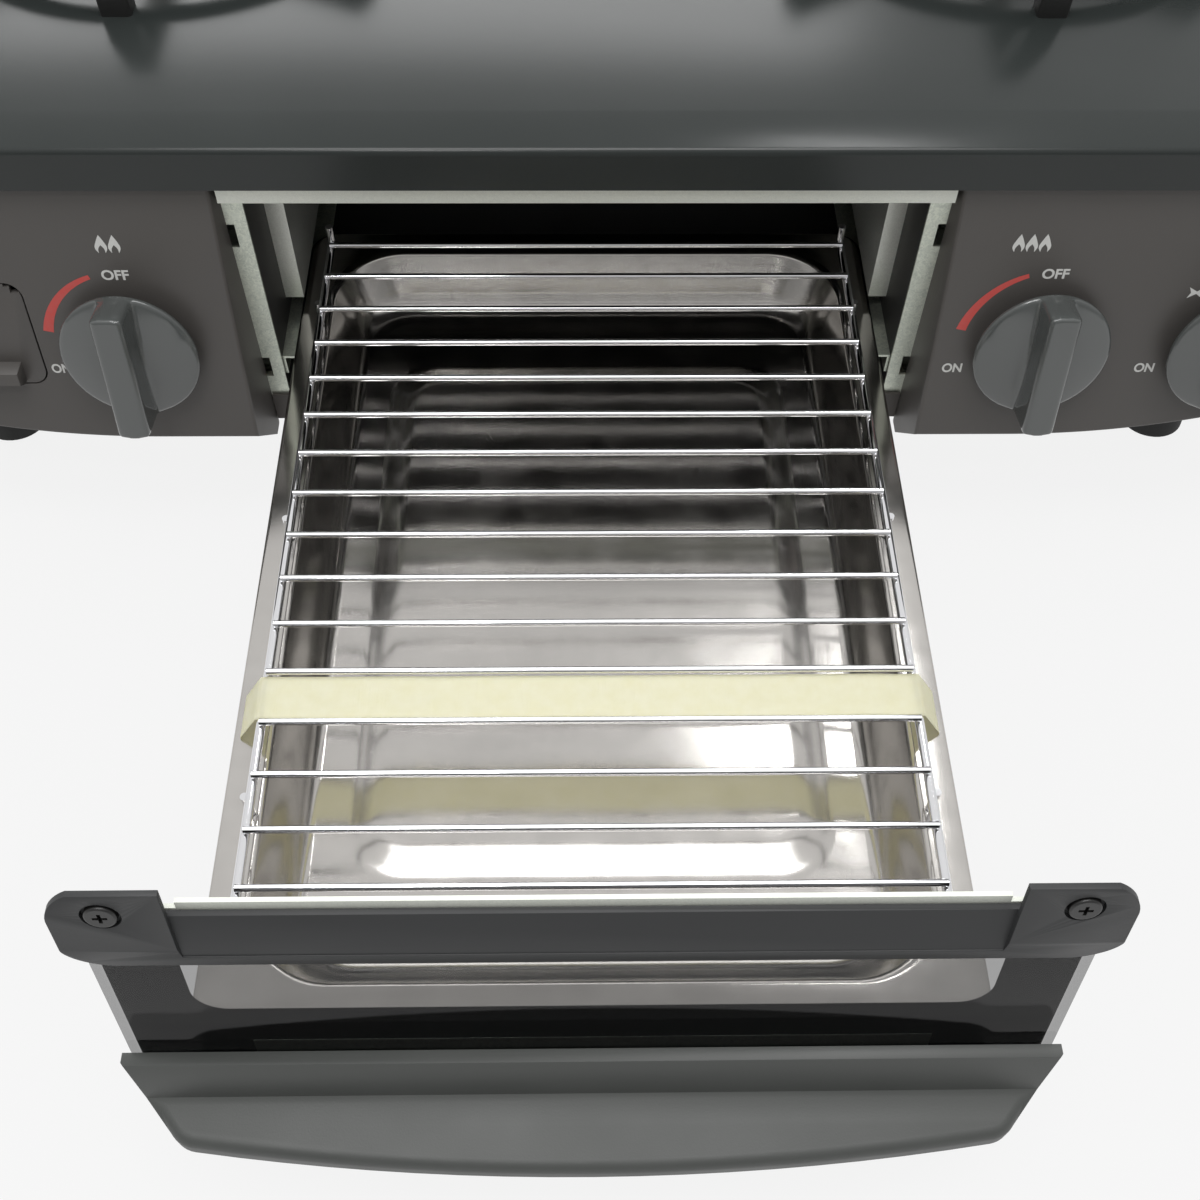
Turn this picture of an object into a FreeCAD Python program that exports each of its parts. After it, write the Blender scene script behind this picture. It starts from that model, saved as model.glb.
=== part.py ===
import FreeCAD, Part

import math
import os

from FreeCAD import Placement, Rotation, Vector

# A table-top gas stove with two burners and a grill drawer between its control panels.
# x runs to the right and y from the front to the back. z = 0 is the ground under the feet.
# y = 0 is the front of the top plate's flange while the pieces are made, and the last section
# moves them all, so that the origin ends up under the centre of the whole stove.
# The drawer is made pulled out, which is how the stove is shown. Lengths are millimetres.

# Body
body_width = 560.0
body_depth = 415.0
top_z = 174.0            # upper face of the top plate
sheet = 1.0              # steel sheet of the body
foot_height = 22.0
foot_radius = 14.0
side_inset = 1.5         # body shell inside the top plate's edge
fit_gap = 0.3            # between pieces that nearly touch

# Top plate
rim_run = 15.5           # bevel round the plate, seen from above
rim_drop = 4.0
flange_height = 15.4
plate_corner = 20.0
burner_hole_radius = 66.0
hole_lip_depth = 4.0     # the holes' edges are turned down
vent_half_width = 110.0
vent_front = 352.0
vent_back = 392.0

# Front of the body
lean = 11.0              # degrees: the panels and the door lean back at the top
panel_y = 2.1            # panel face at panel_ref_z
panel_ref_z = 149.0
panel_bottom = 51.6
panel_top_gap = 0.3      # between the panels and the top plate's flange
panel_wall = 2.5
opening_half = 127.3     # half the distance between the two control panels
panel_corner = 8.0
panel_bow_start = 165.0  # from here outwards the lower edge curves up
panel_back_bottom = 26.5  # the underside slopes down and back to this height
panel_draft = 2.0        # the side walls at the opening close in by this towards the back
panel_bow_radius = 289.0
frame_y = 7.0            # galvanised frame behind the panels
back_corner = 16.0       # upright bends at the back of the body
back_inset = 7.0         # back of the body inside the top plate's edge
shell_flange = 10.0      # turned in along the top of the body
window_half = 118.0
window_bottom = 45.0
window_top = 147.0
slot_width = 3.5
slot_height = 10.0
slot_levels = (65.0, 129.6)
frame_bottom = 36.0
sill_top = 50.5
sill_middle_top = 44.5
base_front = 20.0
base_edge = 13.0         # upturned edge of the floor
rail_half = 125.0
rail_y = 3.0
rail_top = 166.0

# Knobs, spindles and valves, measured along the spindle from the panel's face
burner_knob_x = 165.5
grill_knob_inset = 43.0  # inside the side of the top plate
knob_z = 92.3
knob_radius = 25.0
knob_gap = 4.2           # from the panel to the back of the knob
knob_push = 3.5
grip_width = 11.6
grip_low = 22.0          # face of the grip at the pointer end
grip_high = 24.0
spindle_gap = 1.0        # round the spindle in the panel
spindle_radius = 3.0
spindle_front = 14.0
spindle_back = -46.0
pin_radius = 1.8
pin_length = 20.0
running_gap = 0.06
valve_front = -24.0
valve_back = -72.0
valve_radius = 13.0
nozzle_z = 112.0
nozzle_start = 66.0
nozzle_length = 12.0

# Burners
burner_x = 164.0
burner_y = 168.6
bowl_radius = 38.0
bowl_bottom = 122.0
bowl_top = 172.0
bowl_wall = 3.0
cap_radius = 40.0
cap_height = 16.0
port_count = 30
cap_hole_radius = 13.0
sensor_radius = 6.5
sensor_top = 213.0
sensor_head = 16.0
stem_radius = 3.0
spring_seat = 78.0
spring_length = 22.0
spring_turns = 6
spring_radius = 5.0
spring_wire = 0.5
ring_inner = 50.0
ring_outer = 78.0
trivet_ring_radius = 88.0
trivet_reach = 100.0
trivet_height = 36.0
trivet_arms = 6
arm_width = 11.0

# Spark unit on the floor of the body
igniter_inset = 18.0     # inside the side of the top plate
igniter_front = 100.0
igniter_width = 50.0
igniter_length = 60.0
igniter_height = 28.0

# Grill
case_top = 152.0
case_back = 336.0
shield_inner = 110.9
shield_front = 33.0
shield_bottom = 77.0
shield_sheet = 0.8
runner_inner = 106.0
grill_burner_front = 56.0
grill_burner_length = 190.0
grill_tube_y = 72.0

# Drawer, which slides back by drawer_travel to shut
drawer_travel = 240.0
rim_top = 72.4
pan_sheet = 0.8
pan_half = 112.6
pan_front = -12.7        # y with the drawer shut
pan_length = 328.7
pan_lip = 3.3
rim_front_width = 12.7
rim_side_width = 12.1
rim_back_width = 12.4
pan_depth = 24.0
pan_draft = 9.5
pan_corner = 26.0
emboss_height = 3.0
emboss_inset_x = 32.0
emboss_inset_y = 50.7
emboss_slope = 9.0
wire_count = 16
wire_spacing = 18.0
wire_radius = 1.15
rod_radius = 1.5
rack_z = 85.8
rack_half = 101.5
first_wire = 293.0       # rearmost cross wire, with the drawer shut
tape_half = 110.4
tape_width = 15.2
tape_sheet = 0.4
tape_gap_index = 11      # the tape lies after this many wires, counted from the rear

# Door of the drawer, in distances in front of the panels' face
glass_offset = 0.6
glass_thickness = 4.0
glass_half = 127.6
glass_bottom = 58.0
glass_top = 143.0
plate_sheet = 1.2
plate_half = 100.0
plate_top = 143.7
bar_half = 130.0
bar_bottom = 118.0
bar_bevel_top = 129.5    # the lower edge slopes back below this
bar_top = 152.2
bar_middle_top = 141.4
bar_face = 9.6
bar_step = 1.6           # the middle lies this far behind the ears
bar_wall = 1.6
ear_inner = 101.5
screw_x = 116.5
screw_z = 142.2
screw_head_radius = 4.05
handle_half = 130.0
handle_top = 70.6
handle_bottom = 47.0
handle_front = -47.0
handle_end_front = -38.8

# Battery case and gas inlet
battery_inset = 44.0     # inside the side of the top plate
battery_width = 72.0
battery_height = 42.0
battery_z = 97.0
door_gap = 0.6
hinge_relief = 3.4       # clear of the round corners of the hole when the door swings out
door_sheet = 2.0
door_corner = 5.4
cell_radius = 16.5
cell_length = 60.0
case_wall = 1.5
manifold_y = 42.0
manifold_z = 34.0
pipe_radius = 5.0
inlet_inset = 25.0       # inside the side of the top plate
nipple_radius = 4.75
nipple_waist = 4.2
nipple_length = 21.0
inlet_body_radius = 8.0


LEAN_TAN = math.tan(math.radians(lean))
LEAN_COS = math.cos(math.radians(lean))
X_AXIS = Vector(1, 0, 0)
Y_AXIS = Vector(0, 1, 0)
Z_AXIS = Vector(0, 0, 1)
SIDES = {"left": -1, "right": 1}
half_width = body_width / 2
shell_half = half_width - side_inset
flange_bottom = top_z - rim_drop - flange_height
panel_top = flange_bottom - panel_top_gap
base_z = foot_height
body_back = body_depth - back_inset
grill_knob_x = half_width - grill_knob_inset
battery_x = battery_inset - half_width
inlet_x = half_width - inlet_inset
pipe_back = body_back - 10


def box(x0, x1, y0, y1, z0, z1):
    """Box between two corners."""
    return Part.makeBox(x1 - x0, y1 - y0, z1 - z0, Vector(x0, y0, z0))


def rod(start, end, radius):
    """Round bar from one point to another."""
    start = Vector(*start)
    along = Vector(*end) - start
    return Part.makeCylinder(radius, along.Length, start, along)


def fuse(first, *others):
    """One solid from pieces that meet."""
    return first.fuse(list(others)).removeSplitter()


def mirrored(shape):
    """The same piece on the other side of the stove."""
    return shape.mirror(Vector(0, 0, 0), X_AXIS)


def face_y(z, offset=0.0):
    """y of the leaning front at height z, offset in front of the panels' face."""
    return panel_y - LEAN_TAN * (panel_ref_z - z) - offset / LEAN_COS


def behind(offset, reach=700.0):
    """Everything behind the leaning plane that lies offset in front of the panels' face."""
    low, high = -300.0, 500.0
    corners = [(face_y(low, offset), low), (face_y(high, offset), high), (reach, high), (reach, low)]
    return prism_x(corners, -reach, reach)


def prism_x(points, x0, x1):
    """Prism along x from (y, z) points."""
    wire = Part.makePolygon([Vector(x0, y, z) for y, z in points + points[:1]])
    return Part.Face(wire).extrude(Vector(x1 - x0, 0, 0))


def slab(x0, x1, z0, z1, near, far):
    """Flat piece that leans with the front, between two distances in front of the panels' face."""
    corners = [(face_y(z0, far), z0), (face_y(z1, far), z1), (face_y(z1, near), z1), (face_y(z0, near), z0)]
    return prism_x(corners, x0, x1)


def round_rectangle(x0, x1, y0, y1, z, radius):
    """Closed wire, a rectangle with round corners, at height z."""
    edges = []
    centres = [(x1 - radius, y1 - radius, 0), (x0 + radius, y1 - radius, 90),
               (x0 + radius, y0 + radius, 180), (x1 - radius, y0 + radius, 270)]
    points = []
    for cx, cy, start in centres:
        arc = [Vector(cx + radius * math.cos(math.radians(start + turn)),
                      cy + radius * math.sin(math.radians(start + turn)), z) for turn in (0, 45, 90)]
        points.append(arc)
    for number, arc in enumerate(points):
        edges.append(Part.Arc(*arc).toShape())
        edges.append(Part.LineSegment(arc[2], points[(number + 1) % 4][0]).toShape())
    return Part.Wire(edges)


def round_box(x0, x1, y0, y1, z0, z1, radius):
    """Box with round upright edges."""
    return Part.Face(round_rectangle(x0, x1, y0, y1, z0, radius)).extrude(Vector(0, 0, z1 - z0))


def drafted(lower, upper):
    """Solid between two rounded rectangles, each given as x0, x1, y0, y1, z, radius."""
    return Part.makeLoft([round_rectangle(*lower), round_rectangle(*upper)], True, True)


def revolve(points, centre):
    """Solid of revolution about the upright line through centre, from (radius, z) points."""
    wire = Part.makePolygon([Vector(r, 0, z) for r, z in points + points[:1]])
    solid = Part.Face(wire).revolve(Vector(0, 0, 0), Z_AXIS, 360)
    solid.translate(Vector(centre[0], centre[1], 0))
    return solid


def at_spindle(shape, x):
    """Place a piece made along +z so that it points out of the panel at x."""
    placed = shape.copy()
    placed.Placement = Placement(Vector(x, face_y(knob_z), knob_z), Rotation(X_AXIS, 90 - lean))
    return placed


def at_drawer(shape):
    """Move a piece of the shut drawer to where the drawer is pulled out."""
    moved = shape.copy()
    moved.translate(Vector(0, -drawer_travel, 0))
    return moved


def top_plate():
    """Enamelled plate with a bevel, an upright flange, two burner holes and a vent."""
    def dome(inset, lower):
        edge = (-half_width + inset, half_width - inset, inset, body_depth - inset)
        crown = (-half_width + rim_run, half_width - rim_run, rim_run, body_depth - rim_run)
        rim_z = top_z - rim_drop - lower
        skirt = round_box(*edge, flange_bottom - lower, rim_z, plate_corner - inset)
        bevel = drafted((*edge, rim_z, plate_corner - inset), (*crown, top_z - lower, plate_corner - rim_run))
        return skirt.fuse(bevel)

    plate = dome(0, 0).cut(dome(sheet, sheet)).removeSplitter()
    for side in SIDES.values():
        centre = (side * burner_x, burner_y)
        lip = revolve([(burner_hole_radius, top_z - hole_lip_depth),
                       (burner_hole_radius + sheet, top_z - hole_lip_depth),
                       (burner_hole_radius + sheet, top_z - sheet / 2),
                       (burner_hole_radius, top_z - sheet / 2)], centre)
        hole = Part.makeCylinder(burner_hole_radius, 40, Vector(*centre, top_z - 20))
        plate = plate.fuse(lip).cut(hole)
    vent = round_box(-vent_half_width, vent_half_width, vent_front, vent_back, top_z - 10, top_z + 10, 6)
    return plate.cut(vent).removeSplitter()


def bent_back(inset, front, low, high):
    """Block that fills the body, inset inside its sides and back, with two upright bends at the back."""
    half = shell_half - inset
    back = body_back - inset
    radius = back_corner - inset
    block = round_box(-half, half, front - 2 * back_corner, back, low, high, radius)
    return block.common(box(-half, half, front, back, low, high))


def inlet_hole():
    """Hole for the gas inlet through the back of the body."""
    return rod((inlet_x, body_back - 5, manifold_z), (inlet_x, body_back + 5, manifold_z),
               inlet_body_radius + fit_gap)


def body_shell():
    """Left side, back and right side of the body, bent from one sheet, with a flange for the top plate."""
    low = base_z + sheet
    high = top_z - rim_drop - 2 * sheet
    front = frame_y + sheet
    outer = bent_back(0, front, low, high)
    inner = bent_back(sheet, front - 1, low - 1, high - sheet)
    lid = bent_back(shell_flange, front - 1, high - 2 * sheet, high + 1)
    corners = box(-half_width, half_width, 0, plate_corner, panel_top, high + 1)
    return outer.cut([inner, lid, corners, inlet_hole()])


def base_pan():
    """Floor of the body with upturned edges."""
    outer = bent_back(sheet, base_front, base_z, base_z + base_edge)
    inner = bent_back(2 * sheet, base_front + sheet, base_z + sheet, base_z + base_edge + 1)
    return outer.cut([inner, inlet_hole()])


def feet():
    """Four rubber feet."""
    solids = []
    for side in SIDES.values():
        for y in (40.0, body_depth - 40.0):
            centre = (side * (half_width - 30), y)
            solids.append(revolve([(0, 0), (foot_radius - 1, 0), (foot_radius, 1), (foot_radius - 2, base_z),
                                   (0, base_z)], centre))
    return Part.makeCompound(solids)


def front_frame():
    """Galvanised frame that carries the panels, with the grill window, clip slots and spindle holes."""
    back = frame_y + sheet
    high = top_z - rim_drop - 4 * sheet
    upper = half_width - plate_corner
    frame = box(-shell_half + 2, shell_half - 2, frame_y, back, frame_bottom, panel_top)
    frame = frame.fuse(box(-upper, upper, frame_y, back, panel_top, high))
    frame = frame.fuse(box(-upper, upper, frame_y, back + 10, high - sheet, high))
    cuts = [box(-window_half, window_half, 0, back + 5, window_bottom, window_top)]
    for side in SIDES.values():
        for level in slot_levels:
            edge = side * (opening_half - 1.2)
            inner = side * (opening_half - 1.2 - slot_width)
            cuts.append(box(min(edge, inner), max(edge, inner), 0, back + 5, level - slot_height / 2,
                            level + slot_height / 2))
    for x in (-burner_knob_x, burner_knob_x, grill_knob_x):
        cuts.append(at_spindle(Part.makeCylinder(11, 40, Vector(0, 0, -30)), x))
    half = battery_width / 2 + case_wall + fit_gap
    tall = battery_height / 2 + case_wall + fit_gap
    cuts.append(box(battery_x - half, battery_x + half, 0, back + 5, battery_z - tall, battery_z + tall))
    return frame.cut(cuts)


def front_rail():
    """Light rail above the grill window."""
    face = box(-rail_half, rail_half, rail_y, rail_y + sheet, window_top, rail_top)
    foot = box(-rail_half, rail_half, rail_y, frame_y, window_top, window_top + sheet)
    return fuse(face, foot)


def front_sill():
    """Dark sill below the grill window, with an upright at each end beside the drawer."""
    front = frame_y - 1.2
    end = opening_half - panel_draft - fit_gap
    inner = pan_half + 2.4
    bar = box(-end, end, front, front + sheet, frame_bottom + 1, sill_middle_top)
    post = box(inner, end, front, front + sheet, frame_bottom + 1, sill_top)
    return fuse(bar, post, mirrored(post))


def panel_outline(inset, top):
    """Outline of the right control panel at its back, in x and z, drawn inset inside its edge."""
    x0 = opening_half - panel_draft + inset
    x1 = shell_half - inset
    low = panel_back_bottom + inset
    outline = Part.Face(round_rectangle(x0, x1, low, top + 2 * panel_corner, 0, panel_corner - inset))
    outline.rotate(Vector(0, 0, 0), X_AXIS, 90)
    outline.translate(Vector(0, frame_y, 0))
    return outline.common(box(x0 - 1, x1 + 1, frame_y - 1, frame_y + 1, low - 1, top)).Faces[0]


def chin_cutter(inset):
    """Space below the sloping underside of a panel, whose front edge is straight and then curves up."""
    z0 = panel_bottom + inset
    y0 = face_y(panel_bottom)
    reach = shell_half + 20
    centre_z = z0 + panel_bow_radius

    def on_bow(x):
        return Vector(x, y0, centre_z - math.sqrt(panel_bow_radius ** 2 - (x - panel_bow_start) ** 2))

    start = Vector(panel_bow_start, y0, z0)
    edges = [Part.LineSegment(Vector(60, y0, z0), start).toShape(),
             Part.Arc(start, on_bow((panel_bow_start + reach) / 2), on_bow(reach)).toShape(),
             Part.LineSegment(on_bow(reach), Vector(reach, y0, -150)).toShape(),
             Part.LineSegment(Vector(reach, y0, -150), Vector(60, y0, -150)).toShape(),
             Part.LineSegment(Vector(60, y0, -150), Vector(60, y0, z0)).toShape()]
    face = Part.Face(Part.Wire(edges))
    slope = Vector(0, frame_y - y0, panel_back_bottom - panel_bottom)
    face.translate(slope * -2)
    return face.extrude(slope * 4)


def draft_cutter():
    """Wedge that opens the walls beside the drawer towards the front."""
    sections = []
    for z in (panel_back_bottom - 10, panel_top + 1):
        y = face_y(z)
        inner = opening_half - panel_draft
        corners = [(opening_half, y), (inner, frame_y + 0.01),
                   (inner - 30, frame_y + 0.01), (inner - 30, y - 30),
                   (opening_half, y - 30)]
        points = [Vector(px, py, z) for px, py in corners]
        sections.append(Part.makePolygon(points + points[:1]))
    return Part.makeLoft(sections, True, True)


def control_panel(side):
    """Moulded panel, a shell open at the back, with holes for its knobs or the battery door."""
    outer = panel_outline(0, panel_top).extrude(Vector(0, -80, 0)).common(behind(0))
    outer = outer.cut([chin_cutter(0), draft_cutter()])
    front = [edge for edge in outer.Edges if abs(edge.CenterOfMass.y - face_y(edge.CenterOfMass.z)) < 0.4
             and edge.CenterOfMass.z < panel_top - 1]
    outer = outer.makeFillet(1.2, front)
    inner = panel_outline(panel_wall + panel_draft, panel_top - 9).extrude(Vector(0, -80, 0))
    inner.translate(Vector(0, 1, 0))
    inner = inner.common(behind(-panel_wall)).cut(chin_cutter(panel_wall * 1.6))
    panel = outer.cut(inner)
    if side < 0:
        panel = mirrored(panel)
        half = battery_width / 2
        tall = battery_height / 2
        door_hole = Part.Face(round_rectangle(battery_x - half, battery_x + half, battery_z - tall,
                                              battery_z + tall, 0, 6))
        door_hole.rotate(Vector(0, 0, 0), X_AXIS, 90)
        door_hole.translate(Vector(0, 60, 0))
        panel = panel.cut(door_hole.extrude(Vector(0, -120, 0)))
    knobs = (burner_knob_x, grill_knob_x) if side > 0 else (-burner_knob_x,)
    for x in knobs:
        panel = panel.cut(at_spindle(
            Part.makeCylinder(spindle_radius + spindle_gap, 30, Vector(0, 0, -15)), x))
    return panel


def battery_door():
    """Door over the batteries, with a pull tab along its lower edge."""
    half = battery_width / 2 - door_gap
    tall = battery_height / 2 - door_gap
    low = battery_z - tall
    hinge_z = battery_z + tall - door_sheet / 2
    plate = Part.Face(round_rectangle(battery_x - half, battery_x + half, low, battery_z + tall, 0,
                                      door_corner))
    plate.rotate(Vector(0, 0, 0), X_AXIS, 90)
    plate.translate(Vector(0, 60, 0))
    plate = plate.extrude(Vector(0, -120, 0))
    for outside in (battery_x - half, battery_x + half - hinge_relief):
        plate = plate.cut(box(outside, outside + hinge_relief, -60, 60,
                              battery_z + tall - hinge_relief, battery_z + tall))
    skin = slab(battery_x - half, battery_x + half, low, hinge_z, -door_sheet, 0)
    hinge_y = face_y(hinge_z, -door_sheet / 2)
    hinge = rod((battery_x - half + door_corner, hinge_y, hinge_z),
                (battery_x + half - door_corner, hinge_y, hinge_z), door_sheet / 2)
    tab = slab(battery_x - half + 8, battery_x + half - 8, low + 1, low + 9, -1.0, 6.5)
    under = prism_x([(face_y(low, 8), low - 4), (face_y(low, 8), low + 6), (face_y(low, 0.5), low)],
                    battery_x - half, battery_x + half)
    return fuse(plate.common(skin), hinge, tab.cut(under))


def battery_case():
    """Open-fronted box behind the battery door."""
    half = battery_width / 2
    tall = battery_height / 2
    depth = frame_y + cell_length
    outer = box(battery_x - half - case_wall, battery_x + half + case_wall, -60, depth,
                battery_z - tall - case_wall, battery_z + tall + case_wall)
    inner = box(battery_x - half, battery_x + half, -61, depth - case_wall, battery_z - tall,
                battery_z + tall)
    return outer.cut(inner).common(behind(-panel_wall - fit_gap))


def battery_cells():
    """Two large round cells side by side."""
    floor = battery_z - battery_height / 2
    end = frame_y + cell_length - case_wall
    cells = []
    for shift in (-1, 1):
        x = battery_x + shift * (cell_radius + 0.4)
        z = floor + cell_radius + 0.1
        body = rod((x, end - cell_length, z), (x, end, z), cell_radius)
        cells.append(fuse(body, rod((x, end - cell_length - 1.5, z), (x, end, z), 4.5)))
    return Part.makeCompound(cells)


def knob():
    """Domed disc with a raised grip and two pointer ribs, made along +z."""
    rear = knob_gap
    rim = rear + 3.6
    crown = rear + 6.6
    line = [Vector(0, 0, rear), Vector(knob_radius - 2, 0, rear), Vector(knob_radius, 0, rear + 1.8),
            Vector(knob_radius, 0, rim)]
    edges = [Part.LineSegment(line[number], line[number + 1]).toShape() for number in range(3)]
    edges.append(Part.Arc(line[3], Vector(knob_radius * 0.55, 0, crown - 0.9), Vector(0, 0, crown)).toShape())
    edges.append(Part.LineSegment(Vector(0, 0, crown), line[0]).toShape())
    disc = Part.Face(Part.Wire(edges)).revolve(Vector(0, 0, 0), Z_AXIS, 360)
    reach = knob_radius - 0.4
    ridge = prism_x([(reach, rear + 2.6), (reach, grip_low), (-reach, grip_high), (-reach, rear + 2.6)],
                    -grip_width / 2, grip_width / 2)
    ridge = ridge.common(Part.makeCylinder(reach, 60, Vector(0, 0, -10)))
    tops = [edge for edge in ridge.Edges if edge.CenterOfMass.z > grip_low - 0.6
            and abs(abs(edge.CenterOfMass.x) - grip_width / 2) < 0.01]
    ridge = ridge.makeFillet(1.6, tops)
    shape = fuse(disc, ridge)
    for x in (-2.2, 2.2):
        rib = box(x - 0.5, x + 0.5, reach - 2, reach + 0.3, rim - 1.5, grip_low - 1.2)
        shape = fuse(shape, rib)
    return shape.cut(Part.makeCylinder(spindle_radius + 0.02, spindle_front + 0.1))


def spindle():
    """Steel spindle between the knob and the valve, made along +z."""
    return Part.makeCylinder(spindle_radius, spindle_front - spindle_back, Vector(0, 0, spindle_back))


def valve_pin():
    """Push pin behind the spindle that opens the safety valve."""
    return Part.makeCylinder(pin_radius, pin_length, Vector(0, 0, spindle_back - pin_length))


def valve(x, burner=True):
    """Gas valve: body round the spindle, an inlet below and an outlet with a seat for its nozzle."""
    travel = knob_push + 0.5
    body = at_spindle(Part.makeCylinder(valve_radius, valve_front - valve_back, Vector(0, 0, valve_back)), x)
    collar = at_spindle(Part.makeCylinder(8, 5, Vector(0, 0, valve_front)), x)
    foot = rod((x, manifold_y, manifold_z + 20), (x, manifold_y, knob_z - 14), 7)
    pieces = [collar, foot]
    if burner:
        rise = rod((x, nozzle_start - 8, knob_z - 14), (x, nozzle_start - 8, nozzle_z + 6), 7)
        seat = rod((x, nozzle_start - 8, nozzle_z), (x, nozzle_start, nozzle_z), 6)
        pieces += [rise, seat]
    else:
        pieces.append(rod((x, nozzle_start - 12, knob_z - 14), (x, nozzle_start, knob_z - 14), 7))
    bores = [Part.makeCylinder(spindle_radius + running_gap, valve_front + 6 - spindle_back + travel,
                               Vector(0, 0, spindle_back - travel)),
             Part.makeCylinder(pin_radius + running_gap, pin_length,
                               Vector(0, 0, spindle_back - pin_length - travel))]
    shape = fuse(body, *pieces)
    return shape.cut([at_spindle(bore, x) for bore in bores])


def nozzles():
    """Brass nozzles of the two burners, facing the mouths of their mixing tubes."""
    solids = []
    for side in SIDES.values():
        x = side * burner_knob_x
        end = nozzle_start + nozzle_length
        tip = Part.makeCone(4, 2, 4, Vector(x, end - 4, nozzle_z), Y_AXIS)
        shank = rod((x, nozzle_start, nozzle_z), (x, end - 4, nozzle_z), 4)
        solids.append(fuse(shank, tip).cut(rod((x, nozzle_start - 1, nozzle_z), (x, end + 1, nozzle_z), 0.8)))
    return Part.makeCompound(solids)


def gas_manifold():
    """Pipe from the inlet at the back to the three valves."""
    front = rod((-burner_knob_x, manifold_y, manifold_z), (inlet_x, manifold_y, manifold_z), pipe_radius)
    feed = rod((inlet_x, manifold_y, manifold_z), (inlet_x, pipe_back, manifold_z), pipe_radius)
    elbow = Part.makeSphere(pipe_radius, Vector(inlet_x, manifold_y, manifold_z))
    risers = [rod((x, manifold_y, manifold_z), (x, manifold_y, manifold_z + 20), 4)
              for x in (-burner_knob_x, burner_knob_x, grill_knob_x)]
    return fuse(front, feed, elbow, *risers)


def gas_inlet():
    """Brass hose nipple through the back of the body."""
    collar_end = body_back + 3
    tip = collar_end + nipple_length
    body = rod((inlet_x, pipe_back, manifold_z), (inlet_x, body_back, manifold_z), inlet_body_radius)
    collar = rod((inlet_x, body_back, manifold_z), (inlet_x, collar_end, manifold_z), inlet_body_radius + 2)
    waist = rod((inlet_x, collar_end, manifold_z), (inlet_x, tip, manifold_z), nipple_waist)
    rings = [rod((inlet_x, start, manifold_z), (inlet_x, end, manifold_z), nipple_radius)
             for start, end in ((collar_end, tip - 12), (tip - 9, tip - 6), (tip - 3, tip))]
    bore = rod((inlet_x, pipe_back - 1, manifold_z), (inlet_x, tip + 1, manifold_z), 2.5)
    return fuse(body, collar, waist, *rings).cut(bore)


def burner(side):
    """Cast burner: bowl, centre column, mixing tube and two lugs for the electrode and the thermocouple."""
    centre = (side * burner_x, burner_y)
    shoulder = bowl_bottom + 28
    foot_radius_inner = bowl_radius - 14
    bowl = revolve([(0, bowl_bottom), (foot_radius_inner, bowl_bottom), (bowl_radius, shoulder),
                    (bowl_radius, bowl_top),
                    (bowl_radius - bowl_wall, bowl_top), (bowl_radius - bowl_wall, shoulder),
                    (foot_radius_inner - 2, bowl_bottom + bowl_wall), (8, bowl_bottom + bowl_wall),
                    (8, bowl_top + 6),
                    (0, bowl_top + 6)], centre)
    mouth = (side * burner_knob_x, nozzle_start + 8, nozzle_z)
    entry = (centre[0], centre[1] - bowl_radius + 14, bowl_bottom + 20)
    cavity = revolve([(8, bowl_bottom + bowl_wall), (foot_radius_inner - 2, bowl_bottom + bowl_wall),
                      (bowl_radius - bowl_wall, shoulder), (bowl_radius - bowl_wall, bowl_top + 20),
                      (8, bowl_top + 20)], centre)
    tube = rod(mouth, entry, 11).fuse(rod(mouth, (mouth[0], mouth[1] + 12, mouth[2] + 4), 14))
    shape = bowl.fuse(tube.cut(cavity))
    lugs = []
    for turn in (-40, 140):
        lug = box(bowl_radius - 1.5, bowl_radius + 9.5, -5, 5, bowl_top - 22, bowl_top - 18)
        lug = lug.cut(Part.makeCylinder(3.05, 20, Vector(bowl_radius + 5, 0, bowl_top - 30)))
        lug.rotate(Vector(0, 0, 0), Z_AXIS, turn)
        lug.translate(Vector(centre[0], centre[1], 0))
        lugs.append(lug)
    shape = shape.fuse(lugs)
    bore = rod((mouth[0], mouth[1] - 1, mouth[2] - 0.4), entry, 9)
    stem_bore = Part.makeCylinder(stem_radius + 0.08, 100, Vector(centre[0], centre[1], bowl_bottom - 5))
    return shape.cut([bore, stem_bore]).removeSplitter()


def lug_point(side, turn):
    """Centre of the lug at the given turn about a burner."""
    reach = bowl_radius + 5
    angle = math.radians(turn)
    return side * burner_x + reach * math.cos(angle), burner_y + reach * math.sin(angle)


def electrodes():
    """Spark electrodes, a ceramic sleeve with a bent wire tip for each burner."""
    solids = []
    for side in SIDES.values():
        x, y = lug_point(side, -40)
        sleeve = rod((x, y, bowl_top - 34), (x, y, bowl_top + 4), 3)
        tip = rod((x, y, bowl_top + 4), (x, y, bowl_top + 10), 0.9)
        solids.append(fuse(sleeve, tip))
    return Part.makeCompound(solids)


def thermocouples():
    """Flame sensors, a stepped steel rod for each burner."""
    solids = []
    for side in SIDES.values():
        x, y = lug_point(side, 140)
        stem = rod((x, y, bowl_top - 30), (x, y, bowl_top - 4), 3)
        solids.append(fuse(stem, rod((x, y, bowl_top - 4), (x, y, bowl_top + 9), 1.8)))
    return Part.makeCompound(solids)


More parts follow.
